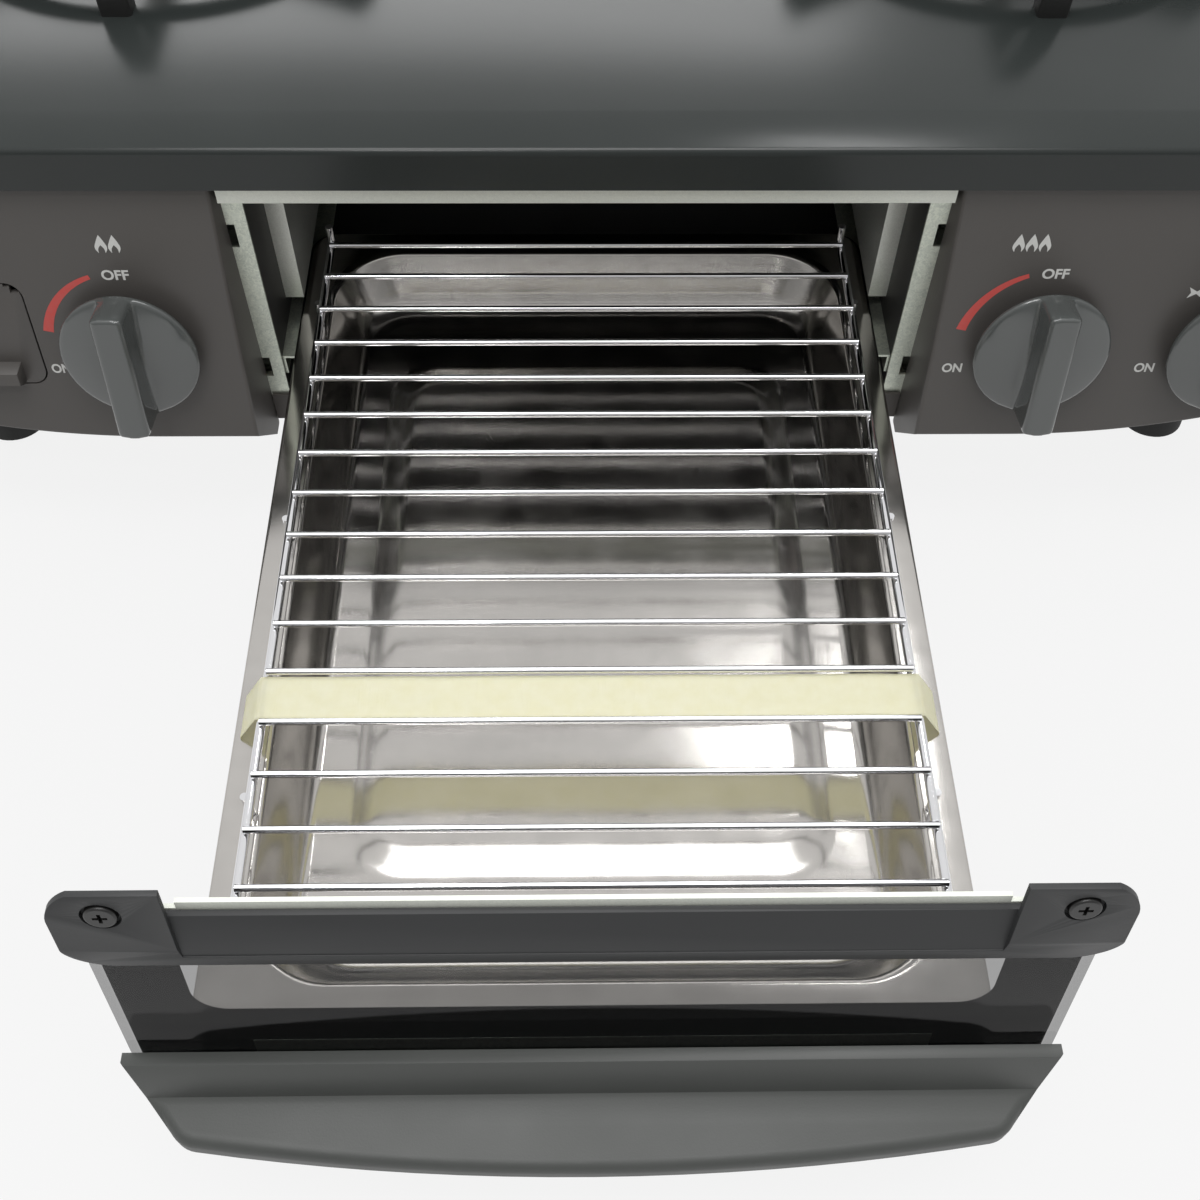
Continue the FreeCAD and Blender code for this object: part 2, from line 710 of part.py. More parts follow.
def burner_cap(side):
    """Lift-off burner cap with flame ports round its edge and a hole for the sensor."""
    centre = (side * burner_x, burner_y)
    top = bowl_top + cap_height
    cap = revolve([(bowl_radius - 3, bowl_top), (cap_radius, bowl_top), (cap_radius, top - 4),
                   (cap_radius - 3, top - 1),
                   (cap_radius - 8, top), (cap_hole_radius + 2, top), (cap_hole_radius, top - 1),
                   (cap_hole_radius, top - 6), (bowl_radius - 8, top - 6),
                   (bowl_radius - 3, top - 9)], centre)
    slots = []
    for number in range(port_count):
        slot = box(bowl_radius - 4, cap_radius + 1, -0.9, 0.9, bowl_top - 1, bowl_top + 5)
        slot.rotate(Vector(0, 0, 0), Z_AXIS, 360.0 * (number + 0.5) / port_count)
        slot.translate(Vector(centre[0], centre[1], 0))
        slots.append(slot)
    return cap.cut(slots)


def burner_stands():
    """Bent brackets that carry the burners and the seats of the sensor springs."""
    solids = []
    for side in SIDES.values():
        x = side * burner_x
        low = base_z + sheet
        legs = []
        for way in (-1, 1):
            y = burner_y + way * 20
            legs.append(box(x - 12, x + 12, y - 0.75, y + 0.75, low, bowl_bottom))
            legs.append(box(x - 12, x + 12, min(y, y + way * 12), max(y, y + way * 12), low, low + 1.5))
        seat = box(x - 12, x + 12, burner_y - 20, burner_y + 20, spring_seat - 1.5, spring_seat)
        hole = Part.makeCylinder(stem_radius + 0.4, 10, Vector(x, burner_y, spring_seat - 5))
        solids.append(fuse(seat, *legs).cut(hole))
    return Part.makeCompound(solids)


def temp_sensor(side):
    """Sprung sensor in the middle of a burner that touches the bottom of a pan."""
    centre = (side * burner_x, burner_y)
    collar = spring_seat + spring_length
    under = sensor_top - sensor_head
    return revolve([(0, spring_seat - 10), (stem_radius, spring_seat - 10), (stem_radius, collar),
                    (stem_radius + 3, collar), (stem_radius + 3, collar + 2), (stem_radius, collar + 2),
                    (stem_radius, under), (sensor_radius, under), (sensor_radius, sensor_top - 2),
                    (sensor_radius - 1, sensor_top), (0, sensor_top)], centre)


def sensor_spring(side):
    """Return spring of a sensor, wound in half turns."""
    low = spring_seat + spring_wire + 0.15
    rise = (spring_length - 2 * spring_wire - 0.3) / (2 * spring_turns)
    edges = []
    for half in range(2 * spring_turns):
        points = []
        for step in (0, 0.5, 1):
            angle = math.pi * (half + step)
            points.append(Vector(spring_radius * math.cos(angle), spring_radius * math.sin(angle),
                                 low + rise * (half + step)))
        edges.append(Part.Arc(*points).toShape())
    path = Part.Wire(edges)
    start = edges[0].Vertexes[0].Point
    heading = edges[0].tangentAt(edges[0].FirstParameter)
    ring = Part.Wire(Part.makeCircle(spring_wire, start, heading))
    coil = path.makePipeShell([ring], True, False)
    coil.translate(Vector(side * burner_x, burner_y, 0))
    return coil


def drip_ring(side):
    """Enamelled ring dish that closes the gap round a burner."""
    centre = (side * burner_x, burner_y)
    seat = top_z + fit_gap
    return revolve([(ring_inner, seat + 3), (ring_inner + 1, seat + 3), (ring_inner + 3, seat - 1),
                    (burner_hole_radius - 4, seat - 1), (burner_hole_radius - 1, seat + 2),
                    (ring_outer - 3, seat + 2),
                    (ring_outer, seat + 0.2), (ring_outer - 1, seat), (ring_outer - 4, seat + 1),
                    (burner_hole_radius, seat + 1), (burner_hole_radius - 3, seat - 2),
                    (ring_inner + 2, seat - 2),
                    (ring_inner, seat + 1)], centre)


def trivet(side):
    """Cast trivet: a round bar ring and six claws that stand on the top plate."""
    centre = Vector(side * burner_x, burner_y, 0)
    ring = Part.makeTorus(trivet_ring_radius, 3.5, centre + Vector(0, 0, top_z + 9))
    top = top_z + trivet_height
    arms = []
    for number in range(trivet_arms):
        claw = [(trivet_reach - 9, top_z), (trivet_reach, top_z), (trivet_reach, top_z + 14),
                (trivet_reach - 8, top),
                (30, top), (32, top - 7), (trivet_reach - 16, top - 9), (trivet_reach - 11, top_z + 14)]
        wire = Part.makePolygon([Vector(r, -arm_width / 2, z) for r, z in claw + claw[:1]])
        arm = Part.Face(wire).extrude(Vector(0, arm_width, 0))
        edges = [edge for edge in arm.Edges if abs(abs(edge.CenterOfMass.y) - arm_width / 2) < 0.01
                 and edge.CenterOfMass.z > top_z + 2]
        arm = arm.makeFillet(1.5, edges)
        arm.rotate(Vector(0, 0, 0), Z_AXIS, -90 + 360.0 * number / trivet_arms)
        arm.translate(centre)
        arms.append(arm)
    return fuse(ring, *arms)


def exhaust_cover():
    """Slotted enamel cover over the vent at the back of the top plate."""
    half = vent_half_width + 20
    y0 = vent_front - 8
    y1 = vent_back + 6
    high = top_z + 9
    outer = drafted((-half, half, y0, y1, top_z, 8), (-half + 4, half - 4, y0 + 4, y1 - 4, high, 6))
    inner = drafted((-half + 2, half - 2, y0 + 2, y1 - 2, top_z - 1, 7),
                    (-half + 6, half - 6, y0 + 6, y1 - 6, high - 1.5, 5))
    slots = []
    for number in range(-8, 9):
        x = number * (2 * half - 40) / 17.0
        slots.append(round_box(x - 4, x + 4, y0 + 14, y1 - 14, high - 5, high + 2, 3.9))
    return outer.cut([inner] + slots)


def grill_case():
    """Sheet-metal chamber of the grill, open at the front and, at the top rear, to the exhaust duct."""
    outer = box(-window_half - sheet, window_half + sheet, frame_y + sheet, case_back,
                window_bottom - sheet, case_top)
    inner = box(-window_half, window_half, 0, case_back - sheet, window_bottom, case_top - sheet)
    flue = box(-vent_half_width, vent_half_width, case_back - 30, case_back - sheet - 1, case_top - 5,
               case_top + 5)
    pipe_hole = rod((0, grill_tube_y, case_top - 9), (window_half + 5, grill_tube_y, case_top - 9),
                    7 + fit_gap)
    return outer.cut([inner, flue, pipe_hole])


def exhaust_duct():
    """Duct from the back of the grill case up to the vent in the top plate."""
    half = vent_half_width + 4
    low = case_top
    high = top_z - sheet - fit_gap
    outer = box(-half, half, case_back - 34, vent_back + 4, low, high)
    inner = box(-half + sheet, half - sheet, case_back - 33, vent_back + 3, low + sheet, high - sheet)
    way_in = box(-vent_half_width, vent_half_width, case_back - 30, case_back - sheet - 1, low - 1, low + 2)
    way_out = box(-vent_half_width, vent_half_width, vent_front, vent_back, high - 2, high + 2)
    return outer.cut([inner, way_in, way_out])


def heat_shield(side):
    """Inner wall of the grill that keeps the rim of the pan down."""
    back = case_back - 12
    high = case_top - sheet
    wall = box(shield_inner, shield_inner + shield_sheet, shield_front, back, shield_bottom, high)
    flange = box(shield_inner, window_half, shield_front, shield_front + shield_sheet, shield_bottom, high)
    lip = box(shield_inner, shield_inner + 3, shield_front, back, shield_bottom, shield_bottom + shield_sheet)
    shape = fuse(wall, flange, lip)
    if side > 0:
        shape = shape.cut(rod((90, grill_tube_y, case_top - 9), (window_half + 5, grill_tube_y, case_top - 9),
                              7 + fit_gap))
        return shape
    return mirrored(shape)


def drawer_runners():
    """Ledges along both walls of the grill case on which the rim of the pan slides."""
    high = rim_top - pan_lip - fit_gap
    ledge = box(runner_inner, window_half, frame_y + 2, case_back - 10, high - sheet, high)
    leg = box(window_half - sheet, window_half, frame_y + 2, case_back - 10, high - 9, high)
    runner = fuse(ledge, leg)
    return Part.makeCompound([runner, mirrored(runner)])


def grill_burner():
    """Flat burner under the roof of the grill, fed through the right wall."""
    high = case_top - sheet
    y0 = grill_burner_front
    y1 = grill_burner_front + grill_burner_length
    tube_z = case_top - 9
    block = box(-50, 50, y0, y1, high - 13, high - 2)
    posts = [box(x - 6, x + 6, y - 6, y + 6, high - 3, high) for x in (-38, 38) for y in (y0 + 10, y1 - 10)]
    tube = rod((40, grill_tube_y, tube_z), (window_half + 24, grill_tube_y, tube_z), 7)
    bore = rod((60, grill_tube_y, tube_z), (window_half + 25, grill_tube_y, tube_z), 5.5)
    mouth = box(-44, 44, y0 + 6, y1 - 6, high - 14, high - 12)
    return fuse(block, tube, *posts).cut([bore, mouth])


def grill_pipe():
    """Pipe from the grill valve to the mixing tube of the grill burner."""
    z = case_top - 9
    end_x = window_half + 30
    start = (grill_knob_x, nozzle_start, knob_z - 14)
    corner = (grill_knob_x, grill_tube_y, knob_z - 14)
    high = (grill_knob_x, grill_tube_y, z)
    end = (end_x, grill_tube_y, z)
    runs = [rod(start, corner, 3), rod(corner, high, 3), rod(high, end, 3)]
    elbows = [Part.makeSphere(3, Vector(*point)) for point in (corner, high)]
    tip = rod((window_half + 24 + fit_gap, grill_tube_y, z), end, 5)
    return fuse(runs[0], *runs[1:], *elbows, tip)


def igniter_box():
    """Spark unit on the floor of the body."""
    left = igniter_inset - half_width
    return round_box(left, left + igniter_width, igniter_front, igniter_front + igniter_length,
                     base_z + sheet,
                     base_z + sheet + igniter_height, 4)


def grill_pan():
    """Deep-drawn pan with a wide rim, a folded lip, a drafted well and a raised floor."""
    back = pan_front + pan_length
    x1 = pan_half - rim_side_width
    y0 = pan_front + rim_front_width
    y1 = back - rim_back_width
    floor = rim_top - pan_depth + pan_sheet
    under = rim_top - pan_sheet

    def well(grow, low, high):
        lower = (-x1 + pan_draft - grow, x1 - pan_draft + grow, y0 + pan_draft - grow,
                 y1 - pan_draft + grow, low,
                 pan_corner - pan_draft * 0.6 + grow)
        upper = (-x1 - grow, x1 + grow, y0 - grow, y1 + grow, high, pan_corner + grow)
        return drafted(lower, upper)

    rim = round_box(-pan_half, pan_half, pan_front, back, rim_top - pan_lip, rim_top, 10)
    hollow = round_box(-pan_half + pan_sheet, pan_half - pan_sheet, pan_front + pan_sheet, back - pan_sheet,
                       rim_top - pan_lip - 1, under, 10 - pan_sheet)
    shape = rim.cut(hollow).fuse(well(pan_sheet, floor - pan_sheet, under + 0.1))
    bead = rod((-x1 + 12, back - 6.5, rim_top - 0.2), (x1 - 12, back - 6.5, rim_top - 0.2), 2.6)
    bead = bead.common(box(-200, 200, 0, 500, rim_top - 0.5, rim_top + 10))
    shape = shape.fuse(bead).cut(well(0, floor, rim_top + 0.01))
    mid = (y0 + y1) / 2

    def plateau(shrink, low, high):
        half_x = x1 - emboss_inset_x - shrink
        half_y = (y1 - y0) / 2 - emboss_inset_y - shrink
        foot_x = half_x + emboss_slope
        foot_y = half_y + emboss_slope
        return drafted((-foot_x, foot_x, mid - foot_y, mid + foot_y, low, 18),
                       (-half_x, half_x, mid - half_y, mid + half_y, high, 12))

    shape = shape.fuse(plateau(0, floor - 0.1, floor + emboss_height))
    shape = shape.cut(plateau(pan_sheet, floor - pan_sheet - 0.1, floor + emboss_height - pan_sheet))
    return at_drawer(shape.removeSplitter())


def grill_rack():
    """Wire rack: sixteen cross wires welded on two side rods, with upright tips and feet on the pan's rim."""
    wires = []
    for number in range(wire_count):
        y = first_wire - number * wire_spacing
        wires.append(rod((-rack_half, y, rack_z), (rack_half, y, rack_z), wire_radius))
    last_wire = first_wire - (wire_count - 1) * wire_spacing
    rod_z = rack_z - wire_radius - rod_radius + 0.2
    frame = []
    for side in SIDES.values():
        x = side * rack_half
        back = first_wire + 5
        front = last_wire - 5
        frame.append(rod((x, front, rod_z), (x, back, rod_z), rod_radius))
        frame.append(rod((x, back, rod_z), (x, back, rack_z + 5), rod_radius))
        for end in (front, back):
            frame.append(Part.makeSphere(rod_radius, Vector(x, end, rod_z)))
        for y in (last_wire + 30, (first_wire + last_wire) / 2, first_wire - 30):
            foot_x = x + side * 1.9
            frame.append(rod((foot_x, y, rim_top + fit_gap), (foot_x, y, rod_z), 1.3))
    return at_drawer(fuse(wires[0], *wires[1:], *frame))


def transit_tape():
    """Strip of paper tape across the rack whose ends reach down to the rim of the pan."""
    y = first_wire - (tape_gap_index + 0.5) * wire_spacing
    rest = rack_z - wire_radius + 0.2
    knee = rack_half + 1.7
    end = rim_top + 0.1
    outer = [(-tape_half, end), (-tape_half, end + tape_sheet), (-knee, rest + tape_sheet),
             (knee, rest + tape_sheet),
             (tape_half, end + tape_sheet), (tape_half, end)]
    inner = [(tape_half - 0.6, end), (knee - 0.4, rest), (-knee + 0.4, rest), (0.6 - tape_half, end)]
    points = [Vector(x, y - tape_width / 2, z) for x, z in outer + inner]
    face = Part.Face(Part.makePolygon(points + points[:1]))
    return at_drawer(face.extrude(Vector(0, tape_width, 0)))


def door_glass():
    """Glass of the door, which leans like the panels."""
    pane = slab(-glass_half, glass_half, glass_bottom, glass_top, glass_offset,
                glass_offset + glass_thickness)
    corners = [edge for edge in pane.Edges if abs(abs(edge.CenterOfMass.x) - glass_half) < 0.01
               and edge.Length < glass_thickness * 1.5]
    return at_drawer(pane.makeFillet(3, corners))


def door_plate():
    """Light sheet behind the top bar that shows between its ears."""
    near = glass_offset + glass_thickness + 0.2
    far = near + plate_sheet
    upper = slab(-plate_half, plate_half, bar_bottom + 10, plate_top, near, far)
    lower = slab(-bar_half + 8, bar_half - 8, bar_bottom + 10, bar_middle_top, near, far)
    holes = [door_bore(side, 2.2) for side in SIDES.values()]
    return at_drawer(fuse(upper, lower).cut(holes))


def door_bore(side, radius, depth=30.0, start=-15.0):
    """Round bar along the door's normal at a screw, for holes and screws."""
    bar = Part.makeCylinder(radius, depth, Vector(0, 0, start))
    bar.Placement = Placement(Vector(side * screw_x, face_y(screw_z), screw_z), Rotation(X_AXIS, 90 - lean))
    return bar


def bar_outline():
    """Outline of the top bar in x and z as a thick prism: ends that round off above and below."""
    high = bar_top
    low = bar_bottom
    widest = bar_top - 13

    def at(x, z):
        return Vector(x, -100, z)

    def end(sign):
        x = sign * bar_half
        points = [at(x - sign * 7, high), at(x - sign * 1.8, high - 4.8), at(x, widest), at(x, widest - 7),
                  at(x - sign * 2.8, low + 4.2), at(x - sign * 10, low)]
        return points, [Part.Arc(*points[:3]).toShape(), Part.LineSegment(*points[2:4]).toShape(),
                        Part.Arc(*points[3:]).toShape()]

    right_points, right_edges = end(1)
    left_points, left_edges = end(-1)
    across = [Part.LineSegment(left_points[0], right_points[0]).toShape(),
              Part.LineSegment(left_points[-1], right_points[-1]).toShape()]
    wire = Part.Wire(Part.__sortEdges__(right_edges + left_edges + across))
    return Part.Face(wire).extrude(Vector(0, 200, 0))


def door_bar():
    """Top bar of the door: two ears, a lower middle set back between them and a sloping lower edge."""
    near = glass_offset + glass_thickness + 0.2
    wall = bar_face - bar_wall
    middle = bar_face - bar_step
    bar = slab(-bar_half, bar_half, bar_bottom, bar_top, near, bar_face)
    z0 = bar_bottom
    z1 = bar_bevel_top
    bevel = prism_x([(face_y(z0, bar_face + 9), z0 - 9), (face_y(z0, near + 2.2), z0 - 0.01),
                     (face_y(z1, bar_face), z1), (face_y(z1, bar_face + 9), z1)], -bar_half - 1, bar_half + 1)
    bar = bar.cut(bevel)
    bar = bar.common(bar_outline())
    low = bar_bottom + 9
    hollow = slab(-bar_half - 1, bar_half + 1, low, bar_top + 5, near - 1, wall)
    thin_middle = slab(-ear_inner, ear_inner, low, bar_top + 5, near - 1, middle - bar_wall)
    step = slab(-ear_inner, ear_inner, low - 3, bar_top + 5, middle, bar_face + 5)
    bridge = slab(-ear_inner - 1, ear_inner + 1, low, bar_middle_top, middle - bar_wall, middle)
    notch = slab(-ear_inner, ear_inner, bar_middle_top, bar_top + 5, near - 5, bar_face + 5)
    bar = bar.cut([hollow, thin_middle, step]).fuse(bridge).cut(notch)
    cheeks = slab(-ear_inner - 1.6, ear_inner + 1.6, low, bar_middle_top, middle - bar_wall, bar_face - 0.4)
    bar = bar.fuse(cheeks.cut(slab(-ear_inner, ear_inner, 0, 300, -20, 60)))
    for side in SIDES.values():
        boss = door_bore(side, screw_head_radius + 1.3, 3.0, bar_face - 3.0)
        bar = bar.fuse(boss.common(slab(-bar_half, bar_half, bar_bottom, bar_top, near, bar_face)))
        bar = bar.cut([door_bore(side, 2.2), door_bore(side, screw_head_radius + 0.85, 20, bar_face - 1.4)])
    return at_drawer(bar.removeSplitter())


def door_screws():
    """Two cross-head screws that hold the bar and the plate."""
    near = glass_offset + glass_thickness + 0.2
    solids = []
    for side in SIDES.values():
        head = door_bore(side, screw_head_radius, 2.0, bar_face - 1.4)
        rims = [edge for edge in head.Edges if edge.CenterOfMass.distanceToPoint(
            Vector(side * screw_x, face_y(screw_z), screw_z)) > bar_face + 0.3]
        head = head.makeFillet(0.7, rims)
        shank = door_bore(side, 2.0, bar_face - 1.4 - near, near)
        screw = fuse(head, shank)
        for width, height in ((3.6, 0.9), (0.9, 3.6)):
            blade = Part.makeBox(width, height, 3, Vector(-width / 2, -height / 2, bar_face - 0.5))
            blade.Placement = Placement(Vector(side * screw_x, face_y(screw_z), screw_z),
                                        Rotation(X_AXIS, 90 - lean))
            screw = screw.cut(blade)
        solids.append(at_drawer(screw))
    return Part.makeCompound(solids)


def handle_plan():
    """Outline of the handle seen from above: curved front and slanted ends."""
    low = handle_bottom
    back = Vector(handle_half, 40, low)
    side = Vector(handle_half, -21, low)
    corner = Vector(handle_half - 14.7, handle_end_front, low)
    left = [Vector(-point.x, point.y, low) for point in (back, side, corner)]
    edges = [Part.LineSegment(left[0], back).toShape(),
             Part.LineSegment(back, side).toShape(),
             Part.LineSegment(side, corner).toShape(),
             Part.Arc(corner, Vector(0, handle_front, low), left[2]).toShape(),
             Part.LineSegment(left[2], left[1]).toShape(),
             Part.LineSegment(left[1], left[0]).toShape()]
    return Part.Face(Part.Wire(edges))


def door_handle():
    """Moulded handle under the glass: a back lip, a steep slope, a resting face and a finger hollow below."""
    prism = handle_plan().extrude(Vector(0, 0, handle_top - handle_bottom + 5))
    corners = [edge for edge in prism.Edges if abs(edge.CenterOfMass.y - handle_end_front) < 0.01]
    prism = prism.makeFillet(9, corners)
    low = handle_bottom
    profile = [(60, low), (60, handle_top), (-21.9, handle_top - 0.6), (-27.0, handle_top - 13.2),
               (-28.8, handle_top - 14.4), (-60, handle_top - 19.0), (-60, low)]
    body = prism.common(prism_x(profile, -200, 200))
    body = body.cut(behind(glass_offset + glass_thickness + 0.3))
    front = [edge for edge in body.Edges if edge.CenterOfMass.z > low + 8 and edge.CenterOfMass.y < -30
             and abs(edge.tangentAt(edge.FirstParameter).z) < 0.5]
    body = body.makeFillet(3.6, front)
    hollow = round_box(-handle_half + 35, handle_half - 35, -38.5, -27.5, low - 1, handle_top - 18.1, 5)
    block = slab(-handle_half + 18, handle_half - 18, low, glass_bottom - 0.2, glass_offset,
                 glass_offset + glass_thickness + 0.4)
    return at_drawer(fuse(body.cut(hollow), block))


def door_bracket():
    """Galvanised angle that carries the front of the pan and ties it to the door."""
    leg = slab(-95, 95, rim_top - 25.2, rim_top - 5, -0.6, glass_offset - 0.1)
    under = rim_top - pan_depth - 0.2
    shelf = box(-95, 95, face_y(rim_top - 25.2), 40, under - sheet, under)
    return at_drawer(fuse(leg, shelf))


def build():
    """All pieces by node name."""
    parts = {
        "top_plate": top_plate(), "body_shell": body_shell(), "base_pan": base_pan(), "feet": feet(),
        "front_frame": front_frame(), "front_rail": front_rail(), "front_sill": front_sill(),
        "battery_door": battery_door(),
        "battery_case": battery_case(), "battery_cells": battery_cells(), "igniter_box": igniter_box(),
        "nozzles": nozzles(), "gas_manifold": gas_manifold(), "gas_inlet": gas_inlet(),
        "burner_stands": burner_stands(), "electrodes": electrodes(), "thermocouples": thermocouples(),
        "exhaust_cover": exhaust_cover(), "exhaust_duct": exhaust_duct(), "grill_case": grill_case(),
        "drawer_runners": drawer_runners(), "grill_burner": grill_burner(), "grill_pipe": grill_pipe(),
        "grill_pan": grill_pan(), "grill_rack": grill_rack(), "transit_tape": transit_tape(),
        "door_glass": door_glass(), "door_plate": door_plate(), "door_bar": door_bar(),
        "door_screws": door_screws(), "door_handle": door_handle(), "door_bracket": door_bracket(),
    }
    for name, side in SIDES.items():
        parts["control_panel_" + name] = control_panel(side)
        parts["burner_" + name] = burner(side)
        parts["burner_cap_" + name] = burner_cap(side)
        parts["temp_sensor_" + name] = temp_sensor(side)
        parts["sensor_spring_" + name] = sensor_spring(side)
        parts["drip_ring_" + name] = drip_ring(side)
        parts["trivet_" + name] = trivet(side)
        parts["heat_shield_" + name] = heat_shield(side)
    for name, x in {"left": -burner_knob_x, "right": burner_knob_x, "grill": grill_knob_x}.items():
        parts["knob_" + name] = at_spindle(knob(), x)
        parts["spindle_" + name] = at_spindle(spindle(), x)
        parts["valve_pin_" + name] = at_spindle(valve_pin(), x)
        parts["valve_" + name] = valve(x, name != "grill")
    return parts


def main():
    """Place the origin under the centre of the stove and write one file for each piece."""
    os.makedirs("parts", exist_ok=True)
    front = handle_front - drawer_travel
    back = body_back + 3 + nipple_length
    shift = Vector(0, -(front + back) / 2, 0)
    for name, shape in build().items():
        shape.translate(shift)
        shape.exportStep(os.path.join("parts", name + ".step"))
        print(name, len(shape.Solids), round(shape.Volume), "valid" if shape.isValid() else "not valid")
    print("shift", shift)


main()
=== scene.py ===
import math

import bpy
from mathutils import Matrix, Vector, noise


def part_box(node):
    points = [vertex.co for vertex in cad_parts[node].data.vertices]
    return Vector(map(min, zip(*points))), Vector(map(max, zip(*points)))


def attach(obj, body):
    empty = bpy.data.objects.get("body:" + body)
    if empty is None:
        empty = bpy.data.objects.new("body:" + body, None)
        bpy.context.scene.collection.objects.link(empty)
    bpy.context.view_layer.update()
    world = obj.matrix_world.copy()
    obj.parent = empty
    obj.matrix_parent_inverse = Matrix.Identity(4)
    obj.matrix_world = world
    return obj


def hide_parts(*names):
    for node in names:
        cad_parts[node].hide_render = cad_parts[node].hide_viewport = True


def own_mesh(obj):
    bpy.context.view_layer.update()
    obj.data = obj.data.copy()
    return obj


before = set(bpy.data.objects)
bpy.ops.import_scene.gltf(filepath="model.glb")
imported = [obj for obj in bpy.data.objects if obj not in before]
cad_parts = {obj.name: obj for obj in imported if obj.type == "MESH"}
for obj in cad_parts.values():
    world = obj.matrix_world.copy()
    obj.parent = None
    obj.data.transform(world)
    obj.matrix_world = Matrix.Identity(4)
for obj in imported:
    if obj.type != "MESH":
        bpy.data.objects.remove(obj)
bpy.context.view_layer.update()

# Camera: held above the pulled-out drawer, looking down at the front of the stove.
# Its place and turn were fitted to the stove's straight edges.
MM = 0.001
PHOTO_SIDE = 1200
camera_spot = Vector((-3.3, -445.3, 453.2)) * MM
camera_yaw = math.radians(1.466)
camera_pitch = math.radians(55.277)
camera_roll = math.radians(0.932)
focal_pixels = 1373.83
sensor_width = 36.0
forward = Vector((math.sin(camera_yaw) * math.cos(camera_pitch),
                  math.cos(camera_yaw) * math.cos(camera_pitch), -math.sin(camera_pitch)))
level = Vector((math.cos(camera_yaw), -math.sin(camera_yaw), 0))
upward = level.cross(forward)
right = level * math.cos(camera_roll) + upward * math.sin(camera_roll)
up = upward * math.cos(camera_roll) - level * math.sin(camera_roll)
bpy.ops.object.camera_add(location=camera_spot)
camera = bpy.context.object
camera.name = "camera"
camera.matrix_world = Matrix((right, up, -forward)).transposed().to_4x4()
camera.location = camera_spot
camera.data.sensor_width = sensor_width
camera.data.lens = sensor_width * focal_pixels / PHOTO_SIDE
camera.data.clip_start = 0.01
bpy.context.scene.camera = camera

# Floor and light: a plain pale studio, dim on the viewer's side, bright overhead and behind.
# A broad lamp hangs at the back and one overhead. The mirror images of two small ones are glints
# in the pan and on the top plate's bevel.
bpy.context.scene.view_settings.view_transform = "Standard"


def linear(code):
    """The linear colour of an sRGB hex value."""
    parts = [int(code[start:start + 2], 16) / 255 for start in (1, 3, 5)]
    return [part / 12.92 if part <= 0.04045 else ((part + 0.055) / 1.055) ** 2.4 for part in parts] + [1]


def add(tree, kind, links, **settings):
    """Adds a node; each link is a value, a hex colour or another node's output, by its socket."""
    node = tree.nodes.new(kind)
    for name, value in settings.items():
        setattr(node, name, value)
    for socket, value in links.items():
        if isinstance(value, bpy.types.NodeSocket):
            tree.links.new(value, node.inputs[socket])
        else:
            node.inputs[socket].default_value = linear(value) if isinstance(value, str) else value
    return node


brightest_way = (0, 0.5, 0.87)
sky_strength = 0.9
world = bpy.data.worlds.new("studio")
world.use_nodes = True
bpy.context.scene.world = world
sky = world.node_tree
sky.nodes.clear()
heading = add(sky, "ShaderNodeTexCoord", {})
toward_light = add(sky, "ShaderNodeVectorMath", {0: heading.outputs["Generated"], 1: brightest_way},
                   operation="DOT_PRODUCT")
rise = add(sky, "ShaderNodeMapRange", {0: toward_light.outputs["Value"], 1: -1.0, 2: 1.0})
band = add(sky, "ShaderNodeValToRGB", {0: rise.outputs[0]})
for place, brightness in ((0.0, 0.30), (0.30, 0.30), (0.50, 0.55), (0.75, 0.95), (1.0, 0.95)):
    stop = band.color_ramp.elements[0] if place == 0 else band.color_ramp.elements.new(place)
    stop.color = (brightness, brightness, brightness, 1)
backdrop = add(sky, "ShaderNodeBackground", {"Color": band.outputs[0], "Strength": sky_strength})
add(sky, "ShaderNodeOutputWorld", {"Surface": backdrop.outputs[0]})

# Each lamp has its place, the spot it points at, its width and depth in metres, and its watts.
for name, spot, target, width, depth, power in (
        ("back_lamp", (-0.30, 2.20, 1.60), (0, 0, 0.15), 2.2, 0.8, 21.0),
        ("top_lamp", (0.00, -0.35, 1.90), (0, -0.1, 0.1), 1.3, 0.6, 14.0),
        ("glint_lamp", (-0.25, -0.90, 1.50), (0, -0.1, 0.1), 0.26, 0.14, 2.4),
        ("bevel_lamp", (0.38, 0.60, 1.60), (0.08, -0.06, 0.17), 0.24, 0.06, 1.3)):
    bpy.ops.object.light_add(type="AREA", location=spot)
    lamp = bpy.context.object
    lamp.name = name
    lamp.data.shape = "RECTANGLE"
    lamp.data.size = width
    lamp.data.size_y = depth
    lamp.data.energy = power
    lamp.rotation_euler = (Vector(target) - Vector(spot)).to_track_quat("-Z", "Y").to_euler()

# The camera, mirrors and glass see the floor glow near white. The rest of its colour is a middle
# grey, so that it throws little light up at the stove and keeps the stove's shadow.
floor_glow = 0.86
floor_side = 60
floor_material = bpy.data.materials.new("pale_floor")
floor_material.use_nodes = True
floor_tree = floor_material.node_tree
floor_tree.nodes.clear()
seen = add(floor_tree, "ShaderNodeLightPath", {})
straight = add(floor_tree, "ShaderNodeMath", {
    0: seen.outputs["Is Camera Ray"], 1: seen.outputs["Is Glossy Ray"]}, operation="MAXIMUM")
through = add(floor_tree, "ShaderNodeMath", {
    0: straight.outputs[0], 1: seen.outputs["Is Transmission Ray"]}, operation="MAXIMUM")
glow = add(floor_tree, "ShaderNodeMath", {0: through.outputs[0], 1: floor_glow}, operation="MULTIPLY")
grey_coat = add(floor_tree, "ShaderNodeBsdfDiffuse", {"Color": "#a4a4a4"})
white_glow = add(floor_tree, "ShaderNodeEmission", {"Color": "#ffffff", "Strength": 1.0})
floor_mix = add(floor_tree, "ShaderNodeMixShader", {
    0: glow.outputs[0], 1: grey_coat.outputs[0], 2: white_glow.outputs[0]})
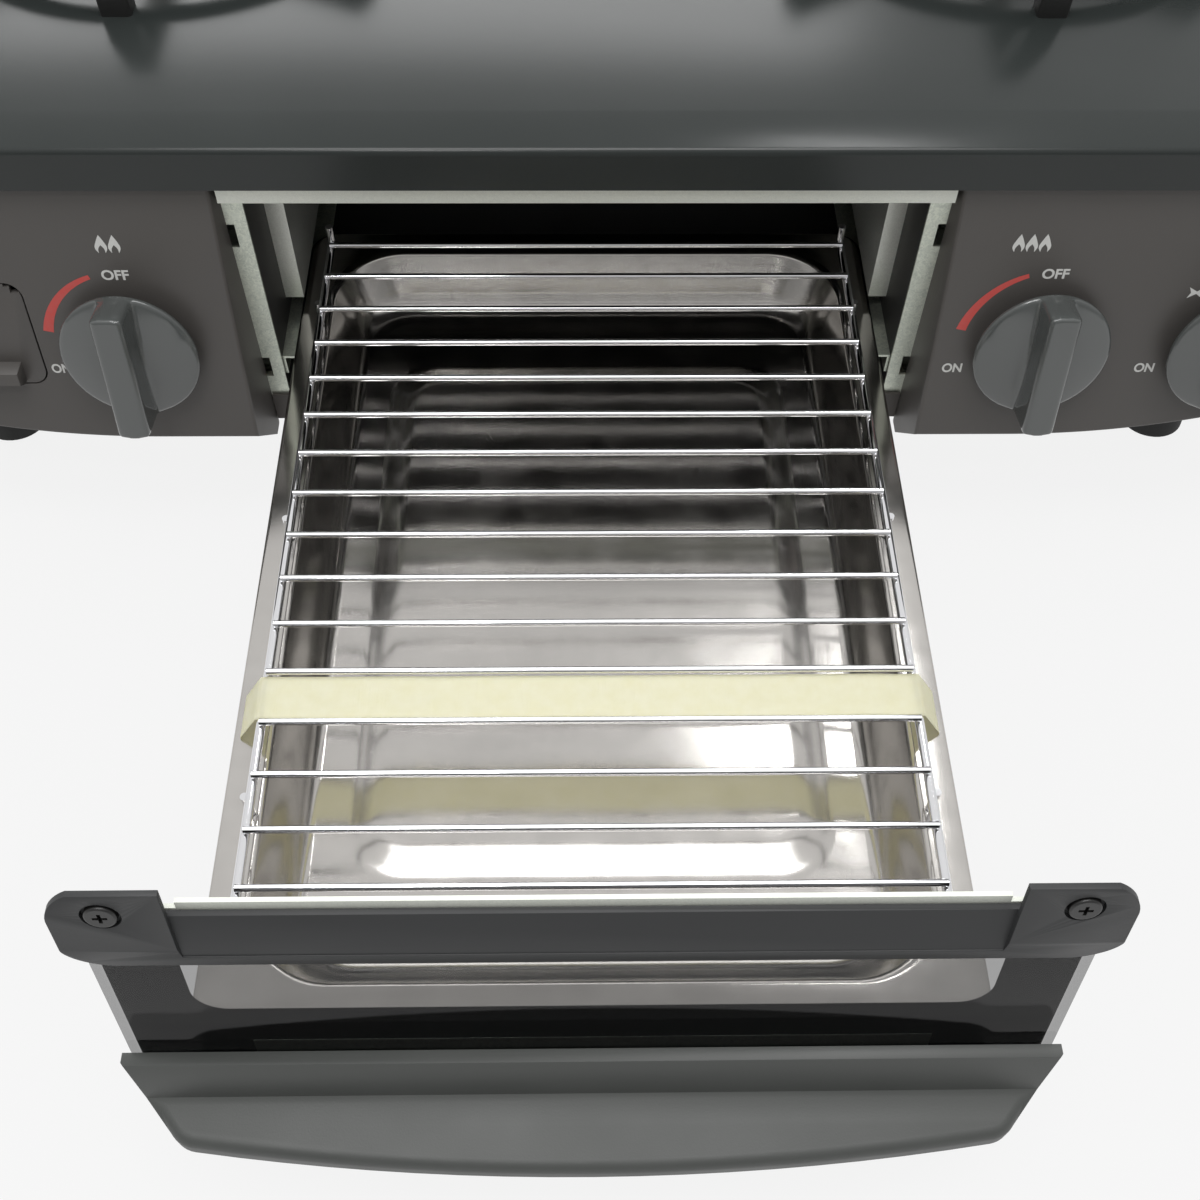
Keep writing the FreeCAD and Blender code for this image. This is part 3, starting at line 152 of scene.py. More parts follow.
add(floor_tree, "ShaderNodeOutputMaterial", {"Surface": floor_mix.outputs[0]})
bpy.ops.mesh.primitive_plane_add(size=floor_side)
floor = bpy.context.object
floor.name = "floor"
floor.data.materials.append(floor_material)

# Top plate: one deep-drawn steel plate with a bevelled rim, coated with charcoal vitreous enamel.
# The fired glass coat is smooth with a faint orange peel, so its edges catch soft bright lines.


def blank(name):
    """A new material with nothing but an output, and its tree."""
    material = bpy.data.materials.new(name)
    material.use_nodes = True
    material.node_tree.nodes.clear()
    return material, material.node_tree


def finish(tree, shader):
    """Sends a shader to the material's output."""
    add(tree, "ShaderNodeOutputMaterial", {"Surface": shader.outputs[0]})


def vitreous_enamel(name, colour, pale):
    """Glossy fired glass coat; a slow mottle shifts its tone and a 3 mm ripple bends its reflections.

    The pigment in it dulls the mirror, so its specular level is lower than that of clear glass.
    """
    material, tree = blank(name)
    spot = add(tree, "ShaderNodeTexCoord", {}).outputs["Object"]
    mottle = add(tree, "ShaderNodeTexNoise", {"Vector": spot, "Scale": 1 / (40 * MM), "Detail": 4.0})
    peel = add(tree, "ShaderNodeTexNoise", {"Vector": spot, "Scale": 1 / (3 * MM), "Detail": 1.0})
    speck = add(tree, "ShaderNodeTexNoise", {"Vector": spot, "Scale": 1 / (0.5 * MM), "Detail": 2.0})
    tone = add(tree, "ShaderNodeMix", {0: mottle.outputs[0], 6: colour, 7: pale}, data_type="RGBA")
    gloss = add(tree, "ShaderNodeMapRange", {0: speck.outputs[0], 3: 0.16, 4: 0.26})
    bump = add(tree, "ShaderNodeBump", {
        "Height": peel.outputs[0], "Strength": 0.10, "Distance": 0.1 * MM})
    finish(tree, add(tree, "ShaderNodeBsdfPrincipled", {
        "Base Color": tone.outputs[2], "Roughness": gloss.outputs[0], "Normal": bump.outputs[0],
        "IOR": 1.52, "Specular IOR Level": 0.3}))
    return material


same_point = 0.002 * MM
flat_angle = math.radians(0.5)
hard_angle = math.radians(28)


def softened(node, name, width, steps=3):
    """A merged copy of a CAD node. A width breaks its sharp edges, and with 0 they stay."""
    bpy.ops.object.select_all(action="DESELECT")
    piece = bpy.data.objects.new(name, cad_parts[node].data.copy())
    bpy.context.scene.collection.objects.link(piece)
    bpy.context.view_layer.objects.active = piece
    piece.select_set(True)
    bpy.ops.mesh.customdata_custom_splitnormals_clear()
    bpy.ops.object.mode_set(mode="EDIT")
    bpy.ops.mesh.select_all(action="SELECT")
    bpy.ops.mesh.remove_doubles(threshold=same_point)
    bpy.ops.mesh.dissolve_limited(angle_limit=flat_angle)
    bpy.ops.object.mode_set(mode="OBJECT")
    if width:
        edges = piece.modifiers.new("broken edges", "BEVEL")
        edges.width = width
        edges.segments = steps
        edges.limit_method = "ANGLE"
        edges.angle_limit = hard_angle
        edges.use_clamp_overlap = True
        edges.harden_normals = True
        bpy.ops.object.modifier_apply(modifier=edges.name)
    bpy.ops.object.shade_smooth_by_angle(angle=hard_angle)
    return piece


def mount(piece, name, material, body, slot, *nodes):
    """Names a finished piece, gives it its material, and lets it stand for CAD nodes on its body."""
    piece.name = name
    piece.data.materials.clear()
    piece.data.materials.append(material)
    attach(piece, body)
    if nodes:
        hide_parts(*nodes)
    return piece


def dress(material, *nodes):
    """Gives CAD nodes a material."""
    for node in nodes:
        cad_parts[node].data.materials.clear()
        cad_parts[node].data.materials.append(material)


enamel = vitreous_enamel("charcoal_vitreous_enamel", "#272b2a", "#2d3130")
plate_low, plate_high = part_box("top_plate")
fold_z = plate_high.z - 4 * MM
fold_radius = 1.8 * MM
plate = softened("top_plate", "top_plate_enamelled", 0)
bpy.ops.object.mode_set(mode="EDIT")
bpy.ops.mesh.select_mode(type="EDGE")
bpy.ops.mesh.select_all(action="DESELECT")
bpy.ops.object.mode_set(mode="OBJECT")
# Only the lower fold of the rim is rounded, where its bevel turns down into the flange.
for edge in plate.data.edges:
    ends = [plate.data.vertices[number].co for number in edge.vertices]
    edge.select = all(abs(end.z - fold_z) < 0.02 * MM for end in ends)
bpy.ops.object.mode_set(mode="EDIT")
bpy.ops.mesh.bevel(offset=fold_radius, segments=5, affect="EDGES")
bpy.ops.object.mode_set(mode="OBJECT")
bpy.ops.object.shade_smooth_by_angle(angle=hard_angle)
mount(plate, "top_plate_enamelled", enamel, "stove", "enamel_black", "top_plate")

# Control panels: moulded ABS in a warm dark grey with a fine spark-eroded texture. The marks are
# pad-printed on the leaning face: flames, a fish, OFF, ON and red scales that widen to full flame.
front = plate_low.y
lean = math.radians(11)
panel_y = 2.1 * MM
panel_z = 149 * MM
knob_z = 92.3 * MM
knob_places = {"left": -165.5 * MM, "right": 165.5 * MM, "grill": 237 * MM}
print_height = 0.06 * MM


def on_panel(x, z, offset=0.0):
    """Frame whose x and y run along the leaning front and whose z points out of it."""
    outward = Vector((0, -math.cos(lean), math.sin(lean)))
    along = Vector((0, math.sin(lean), math.cos(lean)))
    spot = Vector((x, front + panel_y - math.tan(lean) * (panel_z - z), z)) + outward * offset
    return Matrix.Translation(spot) @ Matrix((Vector((1, 0, 0)), along, outward)).transposed().to_4x4()


def moulded(name, colour, pale, grain, rough, depth=0.05 * MM, coat=0.0):
    """A fine-grained skin, as on moulded plastic or paint, whose gloss changes slowly over the piece."""
    material, tree = blank(name)
    spot = add(tree, "ShaderNodeTexCoord", {}).outputs["Object"]
    cloud = add(tree, "ShaderNodeTexNoise", {"Vector": spot, "Scale": 1 / (30 * MM), "Detail": 5.0})
    pores = add(tree, "ShaderNodeTexNoise", {"Vector": spot, "Scale": 1 / grain, "Detail": 3.0})
    tone = add(tree, "ShaderNodeMix", {0: cloud.outputs[0], 6: colour, 7: pale}, data_type="RGBA")
    gloss = add(tree, "ShaderNodeMapRange", {
        0: cloud.outputs[0], 1: 0.3, 2: 0.7, 3: rough, 4: rough + 0.08})
    bump = add(tree, "ShaderNodeBump", {
        "Height": pores.outputs[0], "Strength": 0.5, "Distance": depth})
    finish(tree, add(tree, "ShaderNodeBsdfPrincipled", {
        "Base Color": tone.outputs[2], "Roughness": gloss.outputs[0], "Normal": bump.outputs[0],
        "IOR": 1.53, "Coat Weight": coat, "Coat Roughness": 0.12}))
    return material


panel_plastic = moulded("textured_abs_warm_grey", "#4a4745", "#514e4b", 0.7 * MM, 0.42, 0.06 * MM)
dress(panel_plastic, "control_panel_left", "control_panel_right")


def printed(name, colour):
    """Pad-printing ink: a thin matt film, greyer in clouds where it is thinner."""
    material, tree = blank(name)
    spot = add(tree, "ShaderNodeTexCoord", {}).outputs["Object"]
    cloud = add(tree, "ShaderNodeTexNoise", {"Vector": spot, "Scale": 1 / (1.5 * MM), "Detail": 4.0})
    thin = add(tree, "ShaderNodeMath", {0: cloud.outputs[0], 1: 0.25}, operation="MULTIPLY")
    tone = add(tree, "ShaderNodeMix", {0: thin.outputs[0], 6: colour, 7: "#8d8c89"}, data_type="RGBA")
    finish(tree, add(tree, "ShaderNodeBsdfPrincipled", {"Base Color": tone.outputs[2], "Roughness": 0.55}))
    return material


white_ink = printed("white_printing_ink", "#dcdcd9")
red_ink = printed("red_printing_ink", "#cf4640")


def word(text, name, x, z, width, height):
    """Printed lettering centred at a place on the panel."""
    bpy.ops.object.select_all(action="DESELECT")
    bpy.ops.object.text_add()
    piece = bpy.context.object
    piece.data.body = text
    piece.data.align_x = "CENTER"
    piece.data.align_y = "CENTER"
    piece.data.offset = 0.03
    bpy.ops.object.convert(target="MESH")
    piece = bpy.context.object
    bpy.ops.object.origin_set(type="ORIGIN_GEOMETRY", center="BOUNDS")
    piece.location = (0, 0, 0)
    piece.scale = (width / piece.dimensions.x, height / piece.dimensions.y, 1)
    bpy.ops.object.transform_apply(location=True, rotation=True, scale=True)
    piece.data.transform(on_panel(x, z, print_height))
    return mount(piece, name, white_ink, "stove", "panel_plastic")


def outline(points, name, x, z):
    """Flat printed shape from bezier points, each with a true for a sharp corner."""
    bpy.ops.object.select_all(action="DESELECT")
    bpy.ops.curve.primitive_bezier_circle_add(radius=MM)
    piece = bpy.context.object
    piece.data.dimensions = "2D"
    piece.data.fill_mode = "BOTH"
    piece.data.resolution_u = 10
    spline = piece.data.splines[0]
    spline.bezier_points.add(len(points) - len(spline.bezier_points))
    for knot, (across, along, sharp) in zip(spline.bezier_points, points):
        knot.co = (across * MM, along * MM, 0)
        knot.handle_left_type = "VECTOR" if sharp else "AUTO"
        knot.handle_right_type = "VECTOR" if sharp else "AUTO"
    bpy.context.view_layer.update()
    bpy.ops.object.convert(target="MESH")
    piece = bpy.context.object
    piece.data.transform(on_panel(x, z, print_height))
    return mount(piece, name, white_ink, "stove", "panel_plastic")


flame = ((-1.2, -3.5, True), (-2.1, -1.6, False), (-1.3, 0.9, False), (0.1, 3.5, True),
         (1.4, 0.9, False), (2.1, -1.6, False), (1.2, -3.5, True), (1.0, -1.9, False),
         (0.0, -0.4, True), (-1.0, -1.9, False))
flame_pitch = 4.6
flame_z = 133 * MM
for side, count, middle in (("left", 2, -165.5), ("right", 3, 154.5)):
    for number in range(count):
        across = middle + (number - (count - 1) / 2) * flame_pitch
        outline(flame, f"flame_mark_{side}_{number + 1}", across * MM, flame_z)

letter_height = 4 * MM
off_z = 121.1 * MM
off_width = 9.6 * MM
for place, x in knob_places.items():
    word("OFF", "off_mark_" + place, x, off_z, off_width, letter_height)
for place, x, z, width in (
        ("left", -194.6, 82.7, 7.0), ("right", 136.0, 82.1, 7.4), ("grill", 208.2, 82.0, 7.4)):
    word("ON", "on_mark_" + place, x * MM, z * MM, width * MM, letter_height)

scale_radius = 30 * MM
scale_start = math.radians(108)
scale_end = math.radians(168)
scale_half_start = 0.85
scale_half_growth = 1.0
for side in ("left", "right"):
    bpy.ops.object.select_all(action="DESELECT")
    bpy.ops.mesh.primitive_grid_add(x_subdivisions=48, y_subdivisions=3, size=2)
    arc = bpy.context.object
    for vertex in arc.data.vertices:
        way = (vertex.co.x + 1) / 2
        turn = scale_start + (scale_end - scale_start) * way
        half = (scale_half_start + scale_half_growth * way) * MM
        reach = scale_radius + vertex.co.y * half
        vertex.co = (math.cos(turn) * reach, math.sin(turn) * reach, 0)
    arc.data.transform(on_panel(knob_places[side], knob_z, print_height))
    bpy.ops.object.mode_set(mode="EDIT")
    bpy.ops.mesh.select_all(action="SELECT")
    bpy.ops.mesh.flip_normals()
    bpy.ops.object.mode_set(mode="OBJECT")
    mount(arc, "red_scale_" + side, red_ink, "stove", "panel_plastic")

fish = ((-8.0, 2.2, True), (-5.0, 0.5, True), (-2.0, 2.3, False), (2.0, 2.4, False),
        (6.0, 0.0, True), (2.0, -2.4, False), (-2.0, -2.3, False), (-5.0, -0.5, True),
        (-8.0, -2.2, True), (-7.0, 0.0, True))
outline(fish, "fish_mark", 223 * MM, 113.5 * MM)

# Battery door: an ABS lid set flush in the left panel, with a pull tab along its lower edge.
# The moulder broke its edges by a third of a millimetre, and these show as light lines.


def cover(node, name, width, material, body, slot, steps=3):
    """Puts a softened copy of a CAD node in the node's place, with its material."""
    return mount(softened(node, name, width, steps), name, material, body, slot, node)


cover("battery_door", "battery_lid", 0.35 * MM, panel_plastic, "battery_door", "panel_plastic")

# Knobs: moulded ABS discs with a full-width grip, pressed on their spindles. The mould was polished,
# so they have a satin gloss. All corners are soft and the grip's foot runs out in a fillet, for which
# the skin is remade and eased, and this takes the small pointer ribs with it.
knob_plastic = moulded("polished_abs_grey", "#4b4e4d", "#515453", 1.2 * MM, 0.13, 0.002 * MM, 0.6)
knob_voxel = 0.4 * MM
knob_easing = 70
for place in knob_places:
    knob = softened("knob_" + place, "knob_moulded_" + place, 0)
    shell = knob.modifiers.new("moulded skin", "REMESH")
    shell.mode = "VOXEL"
    shell.voxel_size = knob_voxel
    shell.use_smooth_shade = True
    ease = knob.modifiers.new("soft corners", "SMOOTH")
    ease.factor = 0.5
    ease.iterations = knob_easing
    for step in ("moulded skin", "soft corners"):
        bpy.ops.object.modifier_apply(modifier=step)
    mount(knob, "knob_moulded_" + place, knob_plastic, "knob_" + place, "knob_plastic", "knob_" + place)

# Front frame, rail, runners, shields and brackets: hot-dip galvanised sheet, cut and folded.
# The zinc froze in pale crystals, about two millimetres wide, and it has dulled since. The shields
# are coloured paler than the frame as painted light, standing in for the front light that falls on them,
# and the rail and the plate behind the door bar have a smoother, paler satin skin.


def zinc(name, colour, pale, crystal, rough, metallic):
    """Galvanised sheet: metal with frozen crystals of slightly different tone, and rub marks."""
    material, tree = blank(name)
    spot = add(tree, "ShaderNodeTexCoord", {}).outputs["Object"]
    rubs = add(tree, "ShaderNodeTexNoise", {"Vector": spot, "Scale": 1 / (4 * MM), "Detail": 3.0})
    moved = add(tree, "ShaderNodeMix", {0: 0.04, 4: spot, 5: rubs.outputs[1]}, data_type="VECTOR")
    spangle = add(tree, "ShaderNodeTexVoronoi", {"Vector": moved.outputs[1], "Scale": 1 / crystal})
    shade = add(tree, "ShaderNodeSeparateColor", {0: spangle.outputs["Color"]})
    tone = add(tree, "ShaderNodeMix", {0: shade.outputs[0], 6: colour, 7: pale}, data_type="RGBA")
    gloss = add(tree, "ShaderNodeMapRange", {0: shade.outputs[1], 3: rough, 4: rough + 0.12})
    bump = add(tree, "ShaderNodeBump", {
        "Height": rubs.outputs[0], "Strength": 0.25, "Distance": 0.05 * MM})
    finish(tree, add(tree, "ShaderNodeBsdfPrincipled", {
        "Base Color": tone.outputs[2], "Metallic": metallic, "Roughness": gloss.outputs[0],
        "Normal": bump.outputs[0]}))
    return material


galvanised = zinc("galvanised_sheet", "#b4bab0", "#cfd3c6", 2.6 * MM, 0.34, 0.85)
# The shields' paler colour is painted light: it stands in for the front light on their flanges.
painted_light_zinc = zinc("galvanised_sheet_painted_light", "#e6e8e0", "#f4f6ee", 1.6 * MM, 0.3, 0.75)
dress(galvanised, "front_frame", "drawer_runners", "base_pan", "door_bracket", "burner_stands")
dress(painted_light_zinc, "heat_shield_left", "heat_shield_right")
satin_zinc = zinc("satin_galvanised_sheet", "#dcdfd6", "#e6e9df", 1.6 * MM, 0.42, 0.3)
dress(satin_zinc, "front_rail", "door_plate")

# Sill: the folded steel strip under the grill opening, between the two panels.
# It is painted a dark brown-grey, so it shows as a plain matt band with a slight orange peel.
dark_paint = moulded("dark_paint_on_steel", "#3a3633", "#423d39", 0.8 * MM, 0.5, 0.02 * MM)
dress(dark_paint, "front_sill")

# Grill chamber: folded aluminised sheet with a flat burner under its roof and a flue at its back.
# Heat has blackened it, so it is matt and nearly black, with brown clouds.
heated = moulded("heat_blackened_sheet", "#1b1b1b", "#262523", 2.0 * MM, 0.55, 0.01 * MM)
dress(heated, "grill_case", "grill_burner", "exhaust_duct")

# Drip pan: deep-drawn stainless steel with a turned-down rim and a raised, stiffening floor.
# The sheet keeps the fine lines of its rolling, across the pan, and mirrors the wires above it.
pan_low, pan_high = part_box("grill_pan")
rim_top = 72.4 * MM
rim_lip = 3.3 * MM
rim_fall = 0.2 * MM
rim_corner = 10 * MM
rim_bend = 1.4 * MM
pan_sheet = 0.8 * MM
well_half = 100.5 * MM
well_front = pan_low.y + 12.7 * MM
well_back = pan_high.y - 12.4 * MM
well_corner = 26 * MM
well_bend = 1.5 * MM
floor_z = 49.2 * MM
floor_inset = 9.5 * MM
floor_corner = 20.3 * MM
floor_bend = 8 * MM
floor_rise = 0.2 * MM
ridge_foot = 77.5 * MM
ridge_foot_corner = 18 * MM
ridge_half = 68.5 * MM
ridge_inset = 50.7 * MM
ridge_slope = 9 * MM
ridge_height = 3 * MM
ridge_corner = 12 * MM
ridge_bend = 2.5 * MM
crown_inset = 10 * MM
crown_corner = 6 * MM
corner_steps = 12


def round_loop(half, y0, y1, z, radius):
    """Adds a rectangle with round corners to the mesh in edit mode, as a closed loop of edges."""
    bpy.ops.mesh.select_all(action="DESELECT")
    bpy.ops.mesh.primitive_plane_add(size=2)
    bpy.ops.transform.resize(value=(half, (y1 - y0) / 2, 1))
    bpy.ops.transform.translate(value=(0, (y0 + y1) / 2, z))
    bpy.ops.mesh.bevel(affect="VERTICES", offset_type="OFFSET", offset=radius, segments=corner_steps)
    bpy.ops.mesh.delete(type="ONLY_FACE")


def lofted(name, loops, close_last):
    """A skin through round loops, from the first to the last."""
    bpy.ops.object.select_all(action="DESELECT")
    bpy.ops.mesh.primitive_plane_add()
    piece = bpy.context.object
    piece.name = name
    bpy.ops.object.mode_set(mode="EDIT")
    bpy.ops.mesh.select_mode(type="VERT")
    bpy.ops.mesh.delete(type="VERT")
    for loop in loops:
        round_loop(*loop)
    count = 4 * (corner_steps + 1)
    for number in range(len(loops) - 1):
        bpy.ops.mesh.select_all(action="DESELECT")
        bpy.ops.object.mode_set(mode="OBJECT")
        for vertex in piece.data.vertices[number * count:(number + 2) * count]:
            vertex.select = True
        bpy.ops.object.mode_set(mode="EDIT")
        bpy.ops.mesh.bridge_edge_loops()
    if close_last:
        bpy.ops.mesh.select_all(action="DESELECT")
        bpy.ops.object.mode_set(mode="OBJECT")
        for vertex in piece.data.vertices[-count:]:
            vertex.select = True
        bpy.ops.object.mode_set(mode="EDIT")
        bpy.ops.mesh.edge_face_add()
    bpy.ops.mesh.select_all(action="SELECT")
    bpy.ops.mesh.normals_make_consistent(inside=False)
    bpy.ops.object.mode_set(mode="OBJECT")
    return piece


def bend(before, corner, after, width, steps):
    """Loops of a smooth bend in a corner loop's place, from the side before it to the side after it."""

    def toward(other):
        reach = max(abs(other[index] - corner[index]) for index in range(4))
        return [corner[index] + (other[index] - corner[index]) * width / reach for index in range(5)]

    start, end = toward(before), toward(after)
    loops = []
    for step in range(steps + 1):
        t = step / steps
        loops.append([start[index] * (1 - t) ** 2 + corner[index] * 2 * t * (1 - t) + end[index] * t ** 2
                      for index in range(5)])
    return loops


def stainless(name, colour, pale, rough):
    """Cold-rolled stainless steel with slight dents, and fine lines that catch the light along x.

    The real lines are finer, and here they lie 0.35 mm apart so that they show.
    """
    material, tree = blank(name)
    spot = add(tree, "ShaderNodeTexCoord", {}).outputs["Object"]
    line_scale = 1 / (0.35 * MM)
    lines = add(tree, "ShaderNodeMapping", {"Vector": spot, "Scale": (12, line_scale, line_scale)})
    brush = add(tree, "ShaderNodeTexNoise", {"Vector": lines.outputs[0], "Scale": 1.0, "Detail": 3.0})
    slow = add(tree, "ShaderNodeTexNoise", {"Vector": spot, "Scale": 1 / (45 * MM), "Detail": 1.5})
    smear = add(tree, "ShaderNodeTexNoise", {"Vector": spot, "Scale": 1 / (12 * MM), "Detail": 5.0})
    tone = add(tree, "ShaderNodeMix", {0: smear.outputs[0], 6: colour, 7: pale}, data_type="RGBA")
    gloss = add(tree, "ShaderNodeMapRange", {
        0: smear.outputs[0], 1: 0.3, 2: 0.7, 3: rough, 4: rough + 0.06})
    dents = add(tree, "ShaderNodeBump", {
        "Height": slow.outputs[0], "Strength": 0.22, "Distance": 1.2 * MM})
    bump = add(tree, "ShaderNodeBump", {
        "Height": brush.outputs[0], "Strength": 0.05, "Distance": 0.05 * MM, "Normal": dents.outputs[0]})
    finish(tree, add(tree, "ShaderNodeBsdfPrincipled", {
        "Base Color": tone.outputs[2], "Metallic": 1.0, "Roughness": gloss.outputs[0],
        "Normal": bump.outputs[0]}))
    return material


ridge_front = well_front + ridge_inset
ridge_back = well_back - ridge_inset
lip_loop = (pan_high.x, pan_low.y, pan_high.y, rim_top - rim_lip, rim_corner)
edge_loop = (pan_high.x, pan_low.y, pan_high.y, rim_top, rim_corner)
well_loop = (well_half, well_front, well_back, rim_top - rim_fall, well_corner)
floor_loop = (well_half - floor_inset, well_front + floor_inset, well_back - floor_inset,
              floor_z, floor_corner)
foot_loop = (ridge_foot, ridge_front - ridge_slope, ridge_back + ridge_slope,
             floor_z + floor_rise, ridge_foot_corner)
ridge_loop = (ridge_half, ridge_front, ridge_back, floor_z + ridge_height - floor_rise, ridge_corner)
crown_loop = (ridge_half - crown_inset, ridge_front + crown_inset, ridge_back - crown_inset,
              floor_z + ridge_height, crown_corner)
pan = lofted("drip_pan", [
    lip_loop, *bend(lip_loop, edge_loop, well_loop, rim_bend, 5),
    *bend(edge_loop, well_loop, floor_loop, well_bend, 5),
    *bend(well_loop, floor_loop, foot_loop, floor_bend, 10),
    *bend(floor_loop, foot_loop, ridge_loop, ridge_bend, 5),
    *bend(foot_loop, ridge_loop, crown_loop, ridge_bend, 5), crown_loop], True)
wall = pan.modifiers.new("sheet", "SOLIDIFY")
wall.thickness = pan_sheet
wall.offset = -1
bpy.ops.object.modifier_apply(modifier="sheet")
bpy.ops.object.shade_smooth_by_angle(angle=math.radians(40))
steel_sheet = stainless("rolled_stainless_steel", "#b9b6b2", "#c9c6c2", 0.13)
mount(pan, "drip_pan", steel_sheet, "drawer", "stainless", "grill_pan")

# Rack: chromed steel wire, sixteen cross wires welded on two side rods with feet on the pan's rim.
# The plating polished it, so it mirrors brightly, and a faint haze shifts its gloss.
chrome, chrome_tree = blank("chromed_wire")
chrome_spot = add(chrome_tree, "ShaderNodeTexCoord", {}).outputs["Object"]
chrome_haze = add(chrome_tree, "ShaderNodeTexNoise", {
    "Vector": chrome_spot, "Scale": 1 / (6 * MM), "Detail": 4.0})
chrome_gloss = add(chrome_tree, "ShaderNodeMapRange", {0: chrome_haze.outputs[0], 3: 0.04, 4: 0.12})
finish(chrome_tree, add(chrome_tree, "ShaderNodeBsdfPrincipled", {
    "Base Color": "#e4e4e6", "Metallic": 1.0, "Roughness": chrome_gloss.outputs[0]}))
dress(chrome, "grill_rack")

# Transit tape: a strip of creped paper laid over the wires, its ends pressed down on the pan's rim.
# Matt, cream yellow, with crepe ripples across it and a mottle where the glue shows through.
tape_low, tape_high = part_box("transit_tape")
tape_knee = 103.2 * MM
tape_fold = rim_top + 1.2 * MM
tape_inset = 0.2 * MM
tape_thickness = 0.16 * MM
tape_wander = 0.25 * MM
crease_depth = 0.12 * MM
tape_side = tape_high.x - tape_inset
bpy.ops.object.select_all(action="DESELECT")
bpy.ops.mesh.primitive_grid_add(x_subdivisions=180, y_subdivisions=12, size=2)
tape = bpy.context.object
slope_run = math.hypot(tape_high.x - tape_knee, tape_high.z - tape_fold)
tape_reach = tape_knee + slope_run + (tape_fold - tape_low.z)
for vertex in tape.data.vertices:
    along = abs(vertex.co.x) * tape_reach
    side = math.copysign(1, vertex.co.x)
    drop = min(max(along - tape_knee, 0), slope_run) / slope_run
    down = max(along - tape_knee - slope_run, 0)
    x = side * (min(along, tape_knee) + (tape_side - tape_knee) * drop)
    y = (tape_low.y + tape_high.y) / 2 + vertex.co.y * (tape_high.y - tape_low.y) / 2
    z = tape_high.z - tape_inset - (tape_high.z - tape_fold) * drop - down
    crease = noise.noise(Vector((x / (14 * MM), y / (9 * MM), 3.1)))
    wander = noise.noise(Vector((x / (11 * MM), 0.4, 7.7)))
    vertex.co = (x, y + tape_wander * wander, z - crease_depth - crease_depth * crease)
sheet = tape.modifiers.new("paper", "SOLIDIFY")
sheet.thickness = tape_thickness
bpy.ops.object.modifier_apply(modifier="paper")
bpy.ops.object.shade_smooth()
paper, paper_tree = blank("creped_paper_tape")
paper_spot = add(paper_tree, "ShaderNodeTexCoord", {}).outputs["Object"]
paper_blot = add(paper_tree, "ShaderNodeTexNoise", {
    "Vector": paper_spot, "Scale": 1 / (5 * MM), "Detail": 5.0})
paper_crepe = add(paper_tree, "ShaderNodeMapping", {
    "Vector": paper_spot, "Scale": (1 / (0.6 * MM), 60, 60)})
paper_ripple = add(paper_tree, "ShaderNodeTexNoise", {
    "Vector": paper_crepe.outputs[0], "Scale": 1.0, "Detail": 2.0})
paper_tone = add(paper_tree, "ShaderNodeMix", {
    0: paper_blot.outputs[0], 6: "#ece3a6", 7: "#f7f1c2"}, data_type="RGBA")
paper_bump = add(paper_tree, "ShaderNodeBump", {
    "Height": paper_ripple.outputs[0], "Strength": 0.5, "Distance": 0.1 * MM})
finish(paper_tree, add(paper_tree, "ShaderNodeBsdfPrincipled", {
    "Base Color": paper_tone.outputs[2], "Roughness": 0.75, "Normal": paper_bump.outputs[0],
    "Subsurface Weight": 0.7, "Subsurface Scale": 2 * MM, "Subsurface Radius": (1.0, 0.95, 0.7)}))
mount(tape, "paper_tape", paper, "rack", "paper", "transit_tape")

# Door glass: 4 mm tempered glass with a black fired border printed on its back.
# The border leaves a window whose corners are round. The pane's solid reaches up behind the bar,
# and here its top edge comes down along the lean, to where the door's back plate hides it.
glass, glass_tree = blank("clear_tempered_glass")
glass_spot = add(glass_tree, "ShaderNodeTexCoord", {}).outputs["Object"]
glass_haze = add(glass_tree, "ShaderNodeTexNoise", {
    "Vector": glass_spot, "Scale": 1 / (25 * MM), "Detail": 3.0})
glass_gloss = add(glass_tree, "ShaderNodeMapRange", {0: glass_haze.outputs[0], 3: 0.02, 4: 0.06})
finish(glass_tree, add(glass_tree, "ShaderNodeBsdfPrincipled", {
    "Base Color": "#0d0e0e", "Roughness": glass_gloss.outputs[0], "IOR": 1.52, "Alpha": 0.42,
    "Specular IOR Level": 0.3}))
drawer_out = 240 * MM
glass_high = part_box("door_glass")[1]
glass_bottom = 58 * MM
glass_top = 143 * MM
glass_middle = (glass_bottom + glass_top) / 2
window_bottom = 84 * MM
window_top = 126 * MM
window_half = 107.4 * MM
pane_drop = 12 * MM
pane = softened("door_glass", "door_pane", 0)
for vertex in pane.data.vertices:
    if vertex.co.z > window_top:
        vertex.co -= Vector((0, math.tan(lean) * pane_drop, pane_drop))
mount(pane, "door_pane", glass, "drawer", "dark_glass", "door_glass")

print_inset = 0.3 * MM
print_offset = 0.45 * MM
print_thickness = 0.1 * MM
print_corner = 3 * MM
window_corner = 9 * MM


def up_glass(z):
    """How far a height lies from the middle of the glass, along its lean."""
    return (z - glass_middle) / math.cos(lean)


print_half = glass_high.x - print_inset
border = lofted("glass_border", (
    (print_half, up_glass(glass_bottom), up_glass(glass_top - pane_drop), 0, print_corner),
    (window_half, up_glass(window_bottom), up_glass(window_top), 0, window_corner)), False)
border.data.transform(
    Matrix.Translation((0, -drawer_out, 0)) @ on_panel(0, glass_middle, print_offset))
fired = border.modifiers.new("print", "SOLIDIFY")
fired.thickness = print_thickness
bpy.ops.object.modifier_apply(modifier="print")
black_print = moulded("black_fired_print", "#0a0a0a", "#0e0d0d", 1.0 * MM, 0.1, 0.0005 * MM)
mount(border, "glass_border", black_print, "drawer", "dark_glass")

